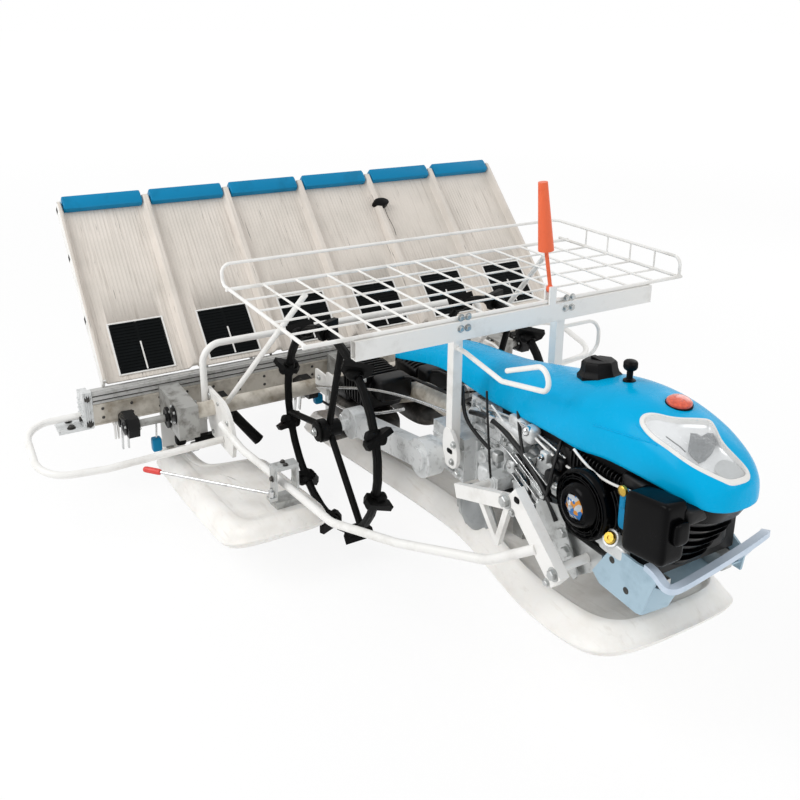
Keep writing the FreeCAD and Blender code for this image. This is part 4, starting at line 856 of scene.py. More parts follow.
def lane_height(across):
    """Walls h = H (1 + cos(pi s)) / 2, s from 0 at 7 mm to 1 at 21 mm from a wall's middle,
    and on the floor ribs h = r cos^8(pi v / step)."""
    gap = np.abs(across[:, None] - RIDGES).min(axis=1)
    wall_share = np.clip((gap - WALL_FLAT) / WALL_SLOPE, 0, 1)
    wall = WALL_HEIGHT * (1 + np.cos(np.pi * wall_share)) / 2
    from_middle = np.abs(across[:, None] - LANE_MIDDLES).min(axis=1)
    ribs = RIB_HEIGHT * np.cos(np.pi * from_middle / RIB_STEP) ** 8
    return wall + np.where(gap > FLOOR_STARTS, ribs, 0)


half_table = 3 * LANE_PITCH
# Places across every 2 mm of the floors and of the walls, and on the edges of the windows
across = np.unique(np.round(np.concatenate([
    (LANE_MIDDLES[:, None] + np.linspace(-0.126, 0.126, 127)).ravel(),
    (RIDGES[:, None] + np.linspace(-FLOOR_STARTS, FLOOR_STARTS, 25)).ravel(),
    (LANE_MIDDLES[:, None] + (-WINDOW_HALF, WINDOW_HALF)).ravel(),
]), 5))
across = across[(across > -half_table) & (across < half_table)]
across = np.concatenate([[-half_table], across, [half_table]])
# Places up the slope, and the share of their height that the walls have there
up = np.array([0, 0.003, 0.008, WINDOW_LOW, 0.112, WINDOW_HIGH, 0.35, 0.5, 0.64, 0.68, 0.687, TABLE_LENGTH])
ends = np.array([0.55, 0.85, 1, 1, 1, 1, 1, 1, 1, 1, 0.85, 0.55])
out = lane_height(across)[None, :] * ends[:, None]
sheet_points, (sheet_quads,) = grid(on_table(up[:, None], across[None, :], out))
middles_up = (up[:-1] + up[1:]) / 2
middles_across = (across[:-1] + across[1:]) / 2
off_lane = np.abs(middles_across[:, None] - LANE_MIDDLES).min(axis=1)
at_window = (middles_up > WINDOW_LOW) & (middles_up < WINDOW_HIGH)
windows = at_window[:, None] & (off_lane < WINDOW_HALF)[None, :]
piece("table_lanes", [(sheet_points, [sheet_quads[~windows.ravel()]])], "lane_moulding", body="table",
      sharp=50, wall=4.5, stands_for=["table_panel"])


def slab_on_table(up_span, across_span, out_span):
    """A box laid on the table between three (low, high) pairs in metres."""
    (low, high), (right, left), (under, over) = up_span, across_span, out_span
    ring = [(low, right), (high, right), (high, left), (low, left)]
    return capped(np.stack([np.stack([on_table(u, v, n) for u, v in ring]) for n in (under, over)]))


# %% Cross ribs under the table, window frames, belts and caps
RIB_WIDE, SIDE_THICK, UNDERSIDE = 0.025, 0.010, -0.031
under_ribs = [slab_on_table((low, low + RIB_WIDE), (-half_table, half_table), (UNDERSIDE, -0.004))
              for low in (0.230, 0.470, 0.664)]
side_spans = [(-half_table, SIDE_THICK - half_table), (half_table - SIDE_THICK, half_table)]
side_walls = [slab_on_table((0.001, TABLE_LENGTH - 0.001), span, (UNDERSIDE, 0.024)) for span in side_spans]
piece("table_under_ribs", under_ribs, "lane_moulding", body="table", bevel=1.5)
piece("table_side_walls", side_walls, "white_moulding", body="table", bevel=2.5)

FRAME, LUG_STEP, LUG_LONG, LUG_HALF, BELT_SIDE = 0.006, 0.0112, 0.0045, 0.038, 0.043
frames, lugs, guides = [], [], []
for middle in LANE_MIDDLES:
    right, left = middle - WINDOW_HALF, middle + WINDOW_HALF
    whole = (WINDOW_LOW - 0.005, WINDOW_HIGH + FRAME)
    spans = [(whole, (right - FRAME, right)), (whole, (left, left + FRAME)),
             ((WINDOW_HIGH, WINDOW_HIGH + FRAME), (right, left)),
             ((WINDOW_LOW - 0.005, WINDOW_LOW), (right, left))]
    frames += [slab_on_table(up_span, across_span, (-0.001, 0.004)) for up_span, across_span in spans]
    lugs += [slab_on_table((low, low + LUG_LONG), (belt - LUG_HALF, belt + LUG_HALF), (0.002, 0.005))
             for low in np.arange(WINDOW_LOW + 0.006, WINDOW_HIGH - 0.006, LUG_STEP)
             for belt in (middle - BELT_SIDE, middle + BELT_SIDE)]
    guides.append(slab_on_table((WINDOW_LOW + 0.003, WINDOW_LOW + 0.104), (middle - 0.0022, middle + 0.0022),
                                (0.002, 0.0062)))
piece("window_frames", frames, "white_moulding", body="table", bevel=1)
piece("belt_lugs", lugs, "belt_rubber", body="table")
piece("belt_guides", guides, "white_moulding", body="table")


def cap(middle):
    """A rounded hook, 55 mm of it along the slope and the last 15 mm past the table's upper edge,
    carried across one lane and drawn in a little at both ends."""
    hook = np.array([(0.652, 0.0015), (0.650, 0.008), (0.653, 0.024), (0.660, 0.0275), (0.692, 0.0275),
                     (0.7045, 0.024), (0.7055, 0.010), (0.7055, -0.010), (0.700, -0.0135), (0.6915, -0.0135),
                     (0.6905, 0.0015)])
    stations = np.array([(-0.1335, 0.90), (-0.1315, 0.97), (-0.127, 1), (0.127, 1), (0.1315, 0.97),
                         (0.1335, 0.90)])
    centre = hook.mean(axis=0)
    section = centre + (hook - centre) * stations[:, 1, None, None]
    return capped(on_table(section[..., 0], middle + stations[:, :1], section[..., 1]))


piece("table_cap_mouldings", [cap(middle) for middle in LANE_MIDDLES], "cap_blue_moulding", body="table",
      sharp=50, stands_for=["table_caps"])

# %% The pocket between two lanes, and the thin seam that runs down from it
POCKET_HALF_UP, POCKET_HALF_ACROSS, SEAM_LIFT = 0.019, 0.034, 0.0255
pocket_turn = np.linspace(0, 2 * np.pi, 28, endpoint=False)
pocket_up, pocket_across = 0.545, RIDGES[4] + 0.012
pocket_rings = [on_table(pocket_up + POCKET_HALF_UP * size * np.sin(pocket_turn),
                         pocket_across + POCKET_HALF_ACROSS * size * np.cos(pocket_turn), lift)
                for size, lift in ((1.0, 0.004), (1.0, 0.0275), (0.9, 0.029), (0.05, 0.0292))]
piece("lane_pocket", [capped(np.stack(pocket_rings))], "satin_black_moulding", body="table", sharp=50)
seam = smooth([(pocket_up - 0.02, pocket_across + 0.004), (pocket_up - 0.07, pocket_across + 0.002),
               (pocket_up - 0.12, pocket_across + 0.010), (pocket_up - 0.16, pocket_across + 0.006)], 4)
piece("lane_seam", [tube(on_table(*seam.T, SEAM_LIFT), 0.9, 6)], "satin_black_moulding", body="table")

# %% [markdown]
# ## The front: chin, cover, starter and bumper
# Under the hood's nose the engine looks out through a black moulded chin with louvres, beside
# a glossy cover with soft corners and a round recoil starter. A soft box is a superellipsoid,
# a shape between a box and a ball, and the chin is one surface whose front is pulled back at
# its two sides and stepped by the louvres. The starter's ribs, spokes and facets all lie round
# its middle, so one small function places them. The bumper is drilled plate with folded edges
# and a flat hoop in front, each a flat outline pushed along, or a strap along a curve.

# %% Soft boxes, chin and side cover
def soft_box(low, high, power=8, rows=26, columns=48):
    """Superellipsoid between two corners: each of x, y, z is a power 2/n of the ball's."""
    low, high = np.asarray(low, float), np.asarray(high, float)
    rise = np.linspace(-np.pi / 2, np.pi / 2, rows)[:, None]
    turn = np.linspace(0, 2 * np.pi, columns, endpoint=False)[None, :]
    ball = [np.sin(rise), np.cos(rise) * np.cos(turn), np.cos(rise) * np.sin(turn)]
    ball = np.stack(np.broadcast_arrays(*ball), -1)
    soft = np.sign(ball) * np.abs(ball) ** (2 / power)
    return grid((low + high) / 2 + soft * (high - low) / 2, wrap=True)


def pillow(low, high, *shape):
    """A soft box between two corners in millimetres, counted from the axle."""
    return soft_box(ahead(low), ahead(high), *shape)


CHIN_LOW, CHIN_HIGH, CHIN_NOSE = 440, 618, 1113
LOUVRE_LOW, LOUVRE_PITCH, LOUVRE_LIP, LOUVRE_DEPTH = 456, 25, 2, 8


def chin(rows=56, columns=73):
    """x = nose + 0.57 h - 62 |u|^3 - louvre, y = -10 - 12 h / 178 + (80 + 0.06 h) u, where h is the
    height over the lower edge and u runs from -1 to 1 across, with sides running back."""
    edges = LOUVRE_LOW + LOUVRE_PITCH * np.arange(6.0)
    levels = [np.linspace(CHIN_LOW, CHIN_HIGH, rows), edges, edges - LOUVRE_LIP]
    z = np.unique(np.concatenate(levels))[:, None]
    height, share = z - CHIN_LOW, np.linspace(-1, 1, columns)
    slatted = (z >= LOUVRE_LOW) & (z < edges[-1] - LOUVRE_LIP)
    step = np.where(slatted, LOUVRE_DEPTH * (1 - (z - LOUVRE_LOW) % LOUVRE_PITCH / LOUVRE_PITCH), 0)
    inside = np.clip((0.80 - np.abs(share)) / 0.05, 0, 1)
    x = CHIN_NOSE + 0.57 * height - 62 * np.abs(share) ** 3 - step * inside
    y = -10 - 12 * height / 178 + (80 + 0.06 * height) * share
    points = np.stack([x, y, np.broadcast_to(z, x.shape)], axis=-1)
    back = points[:, [0, -1]] * (0, 1, 1) + (1000, 0, 0)
    return grid(ahead(np.concatenate([back[:, :1], points, back[:, 1:]], axis=1)))


def leaning(patch, middle, slope):
    """A patch sheared so that it rises along the machine: z + slope (x - middle)."""
    points, faces = patch
    return points + np.outer(points[:, 0] - ahead((middle, 0, 0))[0], (0, 0, slope)), faces


piece("front_chin", [chin()], "gloss_black_moulding", sharp=30, wall=2.5, stands_for=["front_grille"])
cover = [pillow((1072, -176, 506), (1182, -118, 638), 9), pillow((1178, -160, 552), (1196, -124, 600), 4)]
piece("side_cover", [leaning(patch, 1130, 0.15) for patch in cover], "gloss_black_moulding", sharp=60,
      stands_for=["muffler_cover"])

# %% Starter
RECOIL = ahead((938, -125, 522))
STARTER_SHRINK = 0.88


def on_starter(radius, turn, level):
    """Places round the starter: middle + (radius cos a, -level, radius sin a), in millimetres."""
    place = np.broadcast_arrays(radius * np.cos(turn), -level, radius * np.sin(turn))
    return RECOIL + np.stack(place, axis=-1) * MM


dish_steps = [(86, 0), (87, 6), (87, 30), (84, 35), (78, 38), (74, 36), (72, 33), (60, 34), (56, 37),
              (52, 48), (46, 54), (38, 56), (34, 55), (32, 51), (30, 50), (2, 50)]
starter = turned(np.array(dish_steps) * (STARTER_SHRINK, 1), RECOIL, TO_RIGHT, 64)
spokes = [strap([on_starter(54, turn, 36), on_starter(67, turn, 38)], 6, 4, up=TO_LEFT)
          for turn in np.arange(16) * 2 * np.pi / 16]
guard_lines = [turned([(radius - 1.2, 36), (radius - 1.2, 39.5), (radius + 1.2, 39.5), (radius + 1.2, 36)],
                      RECOIL, TO_RIGHT, 64) for radius in (57, 62, 71)]
piece("starter_cover", [starter, *spokes, *guard_lines], "gloss_black_moulding", sharp=35,
      stands_for=["recoil_starter"])

facet_turn = 0.2 + np.linspace(0, 2 * np.pi, 12, endpoint=False)
facet_reach = np.resize([1.0, 0.86], 12) * 29
facet_rings = [(1.0, 49), (1.0, 52), (0.62, 57), (0.30, 59), (0.02, 56)]
hub = capped(np.stack([on_starter(facet_reach * size, facet_turn, level) for size, level in facet_rings]))
# The hub's facets are dull or bright grey, some blue or amber: painted glints and reflections
piece("starter_hub", [hub], "chrome_facets_painted_glints", sharp=5)

# %% Engine: shroud, cylinder fins, skirt under the hood, and a bright tensioner
piece("cylinder_fins", [pillow((x, -129, 560), (x + 4, -60, 612), 5, 12, 20) for x in range(862, 1072, 11)],
      "black_die_cast")
piece("shroud_ribs", [tube(on_starter(84 + 7 * number, np.linspace(-0.4, 0.72, 20), 14 - 3 * number), 1.6, 8)
                      for number in range(4)], "black_die_cast")
skirt_x = np.linspace(560, 1190, 40)
for hand, side in (("right", -1), ("left", 1)):
    middle, half, low = [np.interp(skirt_x, hood_rows[:, 0], line) for line in hood_rows.T[1:4]]
    edge_line = ahead(np.stack([skirt_x, middle + side * (half - 9), low - 4], axis=-1))
    piece("hood_skirt_" + hand, [strap(edge_line, 34, 3, up=TO_LEFT)], "satin_black_moulding", sharp=30)
piece("engine_shroud", [pillow((800, -122, 470), (1010, 122, 606), 7),
                        pillow((980, -132, 440), (1110, 100, 560), 9),
                        pillow((1010, -132, 590), (1190, -66, 628), 6)], "black_die_cast", sharp=60)
piece("tensioner_bright", [pillow((1036, -152, 520), (1060, -132, 606), 5),
                           pillow((1040, -156, 566), (1058, -134, 592), 3)], "cap_blue_moulding")
piece("tensioner_eye", [turned([(11, 0), (11, 6), (7, 9), (1, 9)], ahead((1048, -152, 608)), TO_RIGHT, 16)],
      "yellow_brass")

# Oil filler: a brass cap in a cast collar, on a foot that slopes to the crankcase
filler, out_up = ahead((1020, -146, 484)), (0.15, -0.85, 0.5)
collar = turned([(24, -28), (22, -8), (19, 0), (18, 4), (14, 4), (13, 0)], filler, out_up, 28)
piece("filler_collar", [collar, pillow((985, -150, 446), (1062, -128, 478), 5)], "sand_cast_alloy",
      stands_for=["oil_filler"])
piece("filler_cap", [turned([(13.5, 0), (13.5, 7), (11, 11), (4, 11), (3, 9), (0.5, 9)], filler, out_up, 10)],
      "yellow_brass", sharp=25)

# %% Bumper: two drilled plates with folded edges, a pan between them, and a flat hoop
# The far plate is lower than the near one, so the hoop's far end bends down to reach it
NEAR_PLATE = [(976, 384), (1006, 434), (1026, 466), (1042, 472), (1096, 470), (1136, 476), (1150, 462),
              (1143, 440), (1120, 366), (1106, 362), (1000, 366)]
FAR_PLATE = [(976, 384), (1006, 434), (1022, 460), (1044, 460), (1120, 414), (1114, 366), (1000, 366)]
HOLES = [(1030, 440), (1075, 395)]
PLATE_SIDE, PLATE_THICK = 146, 6


def plate(outline, push):
    """A flat plate: its outline counted from the axle, pushed along a vector, in millimetres."""
    return prism(ahead(outline), np.array(push) * MM)


plates = [plate([(x, y - PLATE_THICK / 2, z) for x, z in outline], (0, PLATE_THICK, 0))
          for outline, y in ((NEAR_PLATE, -PLATE_SIDE), (FAR_PLATE, PLATE_SIDE))]
plates += [plate([(1143, -146, 442), (1119, -146, 364), (1150, -112, 392), (1166, -112, 430)], (0, 3, 0)),
           plate([(976, -146, 384), (1006, -146, 434), (992, -112, 430), (964, -112, 388)], (0, 3, 0)),
           bar((1050, -145, 385), (1112, 145, 389)), bar((1050, 40, 389), (1054, 145, 411))]
hoop_path = smooth([(1120, -146, 478), (1146, -146, 474), (1168, -146, 461), (1179, -143, 458),
                    (1184, -128, 459), (1182, -60, 466), (1176, 60, 480), (1170, 124, 488), (1165, 140, 488),
                    (1155, 147, 476), (1132, 147, 438), (1104, 147, 392)], 8)
piece("bumper_plates", plates, "blue_grey_enamel", bevel=1)
# The hoop takes the paler copy of the bumper enamel, a painted highlight on its top
piece("bumper_hoop", [strap(ahead(hoop_path), 17, 13)], "bumper_enamel_painted_highlight", bevel=4.5, sharp=60,
      stands_for=["bumper"])
rims = [ahead((x, side * PLATE_SIDE, z)) for x, z in HOLES for side in (-1, 1)]
rim_profile, shade_profile = [(5.4, -3.6), (7.4, -3.6), (7.4, 3.6), (5.4, 3.6)], [(5.4, -3.2), (5.4, 3.2)]
piece("bumper_hole_rims", [turned(rim_profile, rim, TO_LEFT, 24) for rim in rims], "dark_steel")
piece("bumper_hole_shades", [turned(shade_profile, rim, TO_LEFT, 24) for rim in rims], "satin_black_moulding")

# %% [markdown]
# ## The gear case and what is bolted round it
# Between the hood and the floats sits a crowd of castings: flanged covers ringed with bolts,
# ribs, soft-edged blocks, the plugs of a hydraulic valve, and the rods and hoses that run to
# them. Each kind is a short table of places, so one line adds one part.

# %% Covers and ribs of the gear case
# x, y, z of the seat, axis, radius, length, bolts: millimetres, counted from the axle.
# A cover off the middle has a twin on the other side.
COVERS = [
    (545, -85, 508, TO_RIGHT, 44, 16, 6), (463, -86, 520, TO_RIGHT, 26, 22, 4),
    (606, -86, 470, TO_RIGHT, 30, 26, 5), (520, -96, 425, TO_RIGHT, 30, 20, 5),
    (668, -96, 408, TO_RIGHT, 34, 12, 6), (668, -48, 490, TO_RIGHT, 24, 26, 4),
    (612, -146, 412, TO_RIGHT, 17, 10, 0), (700, 0, 440, TO_FRONT, 60, 12, 8),
    (500, 0, 560, TO_TOP, 46, 8, 6),
]
# Radius and height of a cover's steps as shares of its own, after a foot 2 mm deep
COVER_STEPS = [(1, 0.35), (0.93, 0.42), (0.80, 0.42), (0.72, 0.9), (0.6, 1), (0.2, 1)]
covers, cover_bolts = [], []
for x, y, z, axis, radius, length, count in COVERS:
    steps = [(radius, -2), *[(radius * wide, length * tall) for wide, tall in COVER_STEPS], (1, length * 0.8)]
    for side in (1, -1) if y else (1,):
        seat, out = ahead((x, side * y, z)), np.array(axis) * (1, side, 1)
        covers.append(turned(steps, seat, out, 40))
        cover_bolts += ring_of_bolts(seat + out * length * 0.42 * MM, out, radius * 0.865, count, 8.5)
piece("gear_covers", covers, "sand_cast_alloy", sharp=40)
piece("gear_cover_bolts", cover_bolts, "zinc_plate")

ribs = [bar((x, -94, 456), (x + 5, 94, 552)) for x in range(440, 640, 22)]
ribs += [bar((x, -104, 360), (x + 5, 104, 452)) for x in range(500, 700, 24)]
ribs += [bar((350, -152, z), (488, 152, z + 5)) for z in (362, 384, 436)]
flanges = [bar((486, -112, 354), (498, 112, 462)), bar((424, -98, 450), (648, 98, 462)),
           bar((692, -108, 366), (704, 108, 462))]
piece("gear_ribs", ribs + flanges, "sand_cast_alloy", bevel=1.5)
seam_bolts = bolts(TO_TOP, [(x, side * 92, 462, 10) for x in range(436, 640, 34) for side in (-1, 1)])
seam_bolts += bolts(TO_FRONT, [(704, side * 98, z, 10) for z in (372, 404, 436) for side in (-1, 1)])
piece("gear_seam_bolts", seam_bolts, "zinc_plate")

# %% Soft-edged castings and plugs
# Low corner, high corner, and how square each is
LUMPS = {
    "sand_cast_alloy": [
        ((574, -128, 532), (704, -96, 572), 4), ((640, -132, 450), (672, -98, 488), 3.5),
        ((700, -138, 560), (740, -104, 600), 4), ((776, -142, 545), (800, -118, 571), 6),
        ((706, -132, 440), (790, -98, 470), 4), ((742, -126, 500), (806, -96, 545), 4),
        ((470, -110, 470), (520, -84, 505), 4), ((548, -150, 388), (596, -110, 436), 4),
        ((950, -150, 452), (1040, -126, 474), 4), ((620, -118, 560), (690, -84, 592), 4),
        ((574, 96, 532), (704, 128, 572), 4), ((706, 98, 440), (790, 132, 470), 4),
        ((742, 96, 500), (806, 126, 545), 4)],
    "black_die_cast": [
        ((690, -120, 470), (800, -86, 500), 5), ((800, -150, 480), (852, -112, 540), 5),
        # The first box on the next line, long and low under the guard bracket, is a black block put where a
        # dark shadow lies: a painted shadow
        ((560, -126, 372), (760, -92, 396), 7), ((810, -140, 545), (850, -110, 575), 4),
        ((690, 86, 470), (800, 120, 500), 5), ((800, 112, 480), (852, 150, 540), 5)],
    "zinc_plate": [
        ((608, -150, 470), (632, -126, 496), 5), ((722, -146, 520), (750, -126, 540), 6),
        ((842, -160, 500), (862, -140, 524), 5), ((500, -110, 540), (540, -90, 556), 5)],
}
for finish, rows in LUMPS.items():
    piece("lumps_" + finish, [pillow(*row, 16, 28) for row in rows], finish, sharp=60)
# Plugs of the valve: centre, axis, radius, length
PLUGS = [((652, -98, 470), (0.15, -1, 0.1), 17, 36), ((718, -120, 584), (0.1, -1, 0.5), 12, 26),
         ((787, -140, 558), TO_RIGHT, 8, 14), ((846, -128, 512), (0.2, -1, 0.2), 13, 34),
         ((575, -124, 552), TO_REAR, 15, 18)]
# Share of the radius, and height under the plug's top
PLUG_STEPS = [(1, -8), (0.85, -4), (0.8, -7), (0.45, -7), (0.4, 0)]
plugs = []
for centre, axis, radius, length in PLUGS:
    steps = [(radius, -8), *[(radius * wide, length + down) for wide, down in PLUG_STEPS], (1, length + 1)]
    plugs.append(turned(steps, ahead(centre), axis, 24))
piece("valve_plugs", plugs, "bright_steel")

# %% Steel plate by the starter, its bolts, and the slanting ribs of the gate
plate_front = [(803, -160, 468), (866, -160, 486), (888, -160, 470), (944, -160, 352), (934, -160, 338),
               (892, -160, 360)]
piece("starter_plate", [plate(plate_front, (0, 5, 0))], "zinc_plate", bevel=1)
piece("gate_ribs", [strap(ahead([(x, -146, 470 + step), (x + 92, -150, 436 + step)]), 9, 3)
                    for x, step in ((690, 4), (704, 22), (716, 40), (700, 58), (730, 72))],
      "bright_steel", bevel=0.8)
piece("plate_bolts", bolts(TO_RIGHT, [(892, -160, 432, 21), (908, -160, 394, 21)]), "zinc_plate")

# %% Rods and hoses
# Radius in millimetres and the points of the route
ROUTES = {
    "white_powder_coat": [
        (3.0, [(700, -122, 590), (756, -126, 575), (816, -127, 564), (873, -126, 560)]),
        (3.0, [(880, -136, 618), (905, -136, 606), (946, -137, 594), (994, -138, 593), (1063, -138, 606)]),
        (2.6, [(560, -118, 588), (640, -124, 560), (742, -140, 522), (800, -150, 500)])],
    "bright_steel": [
        (3.4, [(520, -104, 560), (640, -112, 586), (740, -118, 588), (842, -122, 574)]),
        (2.4, [(470, -120, 500), (560, -130, 510), (640, -138, 520), (700, -140, 500)]),
        (4.2, [(560, 0, 570), (640, -30, 600), (700, -60, 604)])],
    "cable_sheath": [
        (3.0, [(582, -150, 640), (586, -150, 600), (598, -151, 520), (604, -151, 470), (612, -150, 420)]),
        (6.5, [(473, -118, 535), (540, -126, 556), (599, -126, 556), (660, -134, 548), (730, -142, 530),
               (799, -150, 500), (846, -158, 470), (868, -160, 446)]),
        (5.0, [(450, -130, 600), (462, -134, 556), (480, -136, 520), (520, -128, 492), (560, -118, 470)]),
        (4.0, [(640, -100, 600), (700, -136, 560), (742, -148, 505), (756, -146, 460), (740, -130, 420)]),
        (4.0, [(812, -112, 600), (836, -150, 566), (838, -160, 520), (820, -156, 470)]),
        (5.5, [(300, -30, 470), (380, -60, 520), (450, -80, 560), (540, -70, 590), (640, -50, 606)]),
        (4.5, [(300, 30, 470), (380, 66, 520), (450, 90, 560), (540, 84, 590), (640, 60, 606)])],
}
for finish, rows in ROUTES.items():
    piece("lines_" + finish, [rod(smooth(route, 7), radius, 10) for radius, route in rows], finish, sharp=60)

# %% Post foot, cup on the float, and the guard bracket's bolts
foot_corners = [(438, 500), (438, 412), (452, 396), (486, 394), (504, 412), (506, 452), (476, 500)]
post_foot = plate([(x, -178, z) for x, z in rounded_loop(foot_corners, 5)], (0, 12, 0))
piece("post_foot", both([post_foot]), "white_powder_coat", bevel=2)
# Black pads on the post foot where its slots are: the shade inside the slots, painted
piece("post_foot_slot_painted_shade", both([pillow((462, -181, 436), (484, -176, 448), 4, 10, 18)]),
      "satin_black_moulding")
piece("post_foot_bolts", both(bolts(TO_RIGHT, [(484, -178, 416, 12), (490, -178, 466, 12)])), "zinc_plate")

cup_steps = [(66, -2), (66, 6), (60, 9), (54, 7), (49, 8), (45, 14), (36, 22), (22, 28), (8, 30), (1, 30)]
piece("cup_domes", both([turned(cup_steps, ahead((484, -98, 250)), TO_RIGHT, 48)]), "grey_moulding", sharp=50)
guard_bolts = [(800, -247, 487, 24), (824, -247, 470, 12), (612, -247, 462, 14), (968, -247, 402, 20),
               (950, -247, 372, 12)]
piece("guard_bracket_bolts", both(bolts(TO_RIGHT, guard_bolts)), "zinc_plate")
# A black pad on each guard bracket where its hole is: painted shade of the hole
piece("guard_bracket_hole_painted_shade", both([pillow((829, -250, 500), (847, -245, 514), 3, 12, 20)]),
      "satin_black_moulding")

# %% [markdown]
# ## Wheels, rail and planting gear
# The wheels are steel tube under black rubber, thick and uneven at each lug. The rail is an
# extrusion with grooves along its face, on a beam with rivets. Below it each row has its
# claws, its white seedling guides and small blue and black fittings. The gear that drives
# them sits beside the spine, and a marker swings out on each side to show the next row.

# %% Round rims, rubber at the lugs, and hubs
WHEEL_SIDE, AXLE_HEIGHT, RIM, LUG_RIM, LUGS, LUG_LEAN = 288, 330, 296, 301, 10, math.radians(24)


def on_wheel(radius, turn, across, side, ahead_of=0.0):
    """Places on a wheel in millimetres from the axle: radius r at angle a from the lowest point,
    x = r sin a - f cos a, y = side 288 + across, z = 330 - r cos a - f sin a."""
    x = radius * np.sin(turn) - ahead_of * np.cos(turn)
    z = AXLE_HEIGHT - radius * np.cos(turn) - ahead_of * np.sin(turn)
    return ahead(np.stack(np.broadcast_arrays(x, side * WHEEL_SIDE + across, z), axis=-1))


def wheel_rim(side):
    """A ring of round section, radius 11.5 + 2 exp(-u^2 / 0.01) mm at u lug spaces from a lug."""
    turn = np.append(np.linspace(0, 2 * np.pi, 120, endpoint=False), 0)[:, None]
    section = np.linspace(0, 2 * np.pi, 12, endpoint=False)
    swell = 11.5 + 2.0 * np.exp(-((turn * LUGS / (2 * np.pi) + 0.5) % 1 - 0.5) ** 2 / 0.01)
    return grid(on_wheel(RIM + swell * np.cos(section), turn, swell * np.sin(section), side), wrap=True)


def lug_shoulder(side, number):
    """A soft box of rubber at a lug, leant one way or the other."""
    lean = LUG_LEAN * (1 if number % 2 == 0 else -1)
    points, faces = soft_box((-17, -33, -13), (17, 33, 13), 3.2, 12, 24)
    x, y, z = points.T
    along, across = x * math.cos(lean) - y * math.sin(lean), x * math.sin(lean) + y * math.cos(lean)
    return on_wheel(LUG_RIM + z, -number * 2 * math.pi / LUGS, across, side, along), faces


for hand, side in (("right", -1), ("left", 1)):
    body, outward = "wheel_" + hand, np.array((0, side, 0))
    shoulders = [lug_shoulder(side, number) for number in range(LUGS)]
    piece("wheel_rubber_" + hand, [wheel_rim(side)] + shoulders, "wheel_rubber", body=body, sharp=50)
    face = ahead((0, side * (WHEEL_SIDE + 42), AXLE_HEIGHT))
    hub = turned([(30, -6), (30, -2), (24, 0), (14, 0), (13, 3), (6, 3)], face, outward, 32)
    piece("wheel_hub_" + hand, [hub], "wheel_rubber", body=body)
    piece("wheel_hub_bolts_" + hand, bolt(face + outward * 3 * MM, outward, 17), "zinc_plate", body=body)

# %% Rail grooves, rivets, and the ribs and bolts of the rail ends
groove = [(-556, 311), (-549, 311), (-549, 318), (-553, 319), (-553, 322), (-549, 323), (-549, 334),
          (-553, 335), (-553, 338), (-549, 339), (-549, 349), (-556, 350)]
piece("rail_grooves", [plate([(x, -838, z) for x, z in groove], (0, 1676, 0))], "extruded_alloy", sharp=20)
# Dark strips in the two grooves of the rail: painted shade
piece("rail_groove_painted_shade", [bar((-554, -837, z), (-551.8, 837, z + 3)) for z in (319, 335)], "dark_steel")
piece("beam_lips", [bar((-551, -838, z), (-547.5, 838, z + 6)) for z in (239, 303)], "beige_enamel_worn",
      bevel=0.6)
piece("beam_rivets", [turned([(5, 0), (4.4, 2), (2, 3), (0.3, 3.2)], ahead((-550, y, z)), TO_FRONT, 14)
                      for y in range(-810, 811, 90) for z in (262, 292)], "dark_steel", sharp=60)
end_ribs = [bar((-546, y, 238), (-541, y + 2.5, 352)) for y in range(-866, -842, 6)]
end_ribs += [bar((-632, -872, z), (-548, -867, z + 3)) for z in range(246, 311, 16)]
piece("rail_end_ribs", both(end_ribs), "sand_cast_alloy", bevel=0.5)
end_bolts = bolts(TO_FRONT, [(-545, -854, 250, 16), (-545, -854, 334, 13)])
end_bolts += bolts(TO_TOP, [(-575, -905, 236, 17), (-625, -905, 236, 14)])
end_bolts += bolts(TO_RIGHT, [(-590, -868, 254, 16)])
piece("rail_end_bolts", both(end_bolts), "dark_steel")

# %% Planting units: covers, claws, seedling guides and fittings
ROWS = [-750 + 300 * row for row in range(6)]
ARM_COVER = [(27, 0), (27, 4), (22, 7), (16, 7), (14, 4), (6, 4), (5, 8), (1, 8)]
PIVOT_COVER = [(14, 0), (14, 4), (9, 6), (1, 6)]
CASE_COVER = [(34, 0), (34, 8), (29, 10), (24, 7), (13, 7), (12, 14), (11, 14)]
SHAFT_COVER = [(30, 0), (30, 5), (25, 7), (9, 7), (8, 10), (1, 10)]
covers, cover_bolts, claws, guides, dark = [], [], [], [], []
for y in ROWS:
    for side, out in ((-1, TO_RIGHT), (1, TO_LEFT)):
        centre = ahead((-450, y + side * 17, 262))
        covers.append(turned(ARM_COVER, centre, out, 28))
        cover_bolts += ring_of_bolts(centre + np.array(out) * 4 * MM, out, 24.5, 4, 6)
        covers.append(turned(PIVOT_COVER, ahead((-520, y + side * 17, 245)), out, 20))
        claw = [(x, y + side * 9, z) for x, z in ((-533, 246), (-539, 214), (-547, 176), (-556, 138))]
        claws.append(strap(ahead(claw), 5, 13, up=(0.98, 0, -0.2)))
    guide = [(-545, 240), (-545, 200), (-553, 176), (-566, 170), (-566, 240)]
    guides += [plate([(x, y + at, z) for x, z in guide], (0, 4, 0)) for at in (-30, -20, 18, 28)]
    guides.append(bar((-566, y - 34, 228), (-546, y + 34, 238)))
    dark.append(rod(smooth([(-470, y - 24, 290), (-430, y - 30, 300), (-392, y - 26, 306)], 6), 5, 10))
    dark.append(pillow((-560, y - 15, 232), (-520, y + 15, 262), 5, 12, 20))
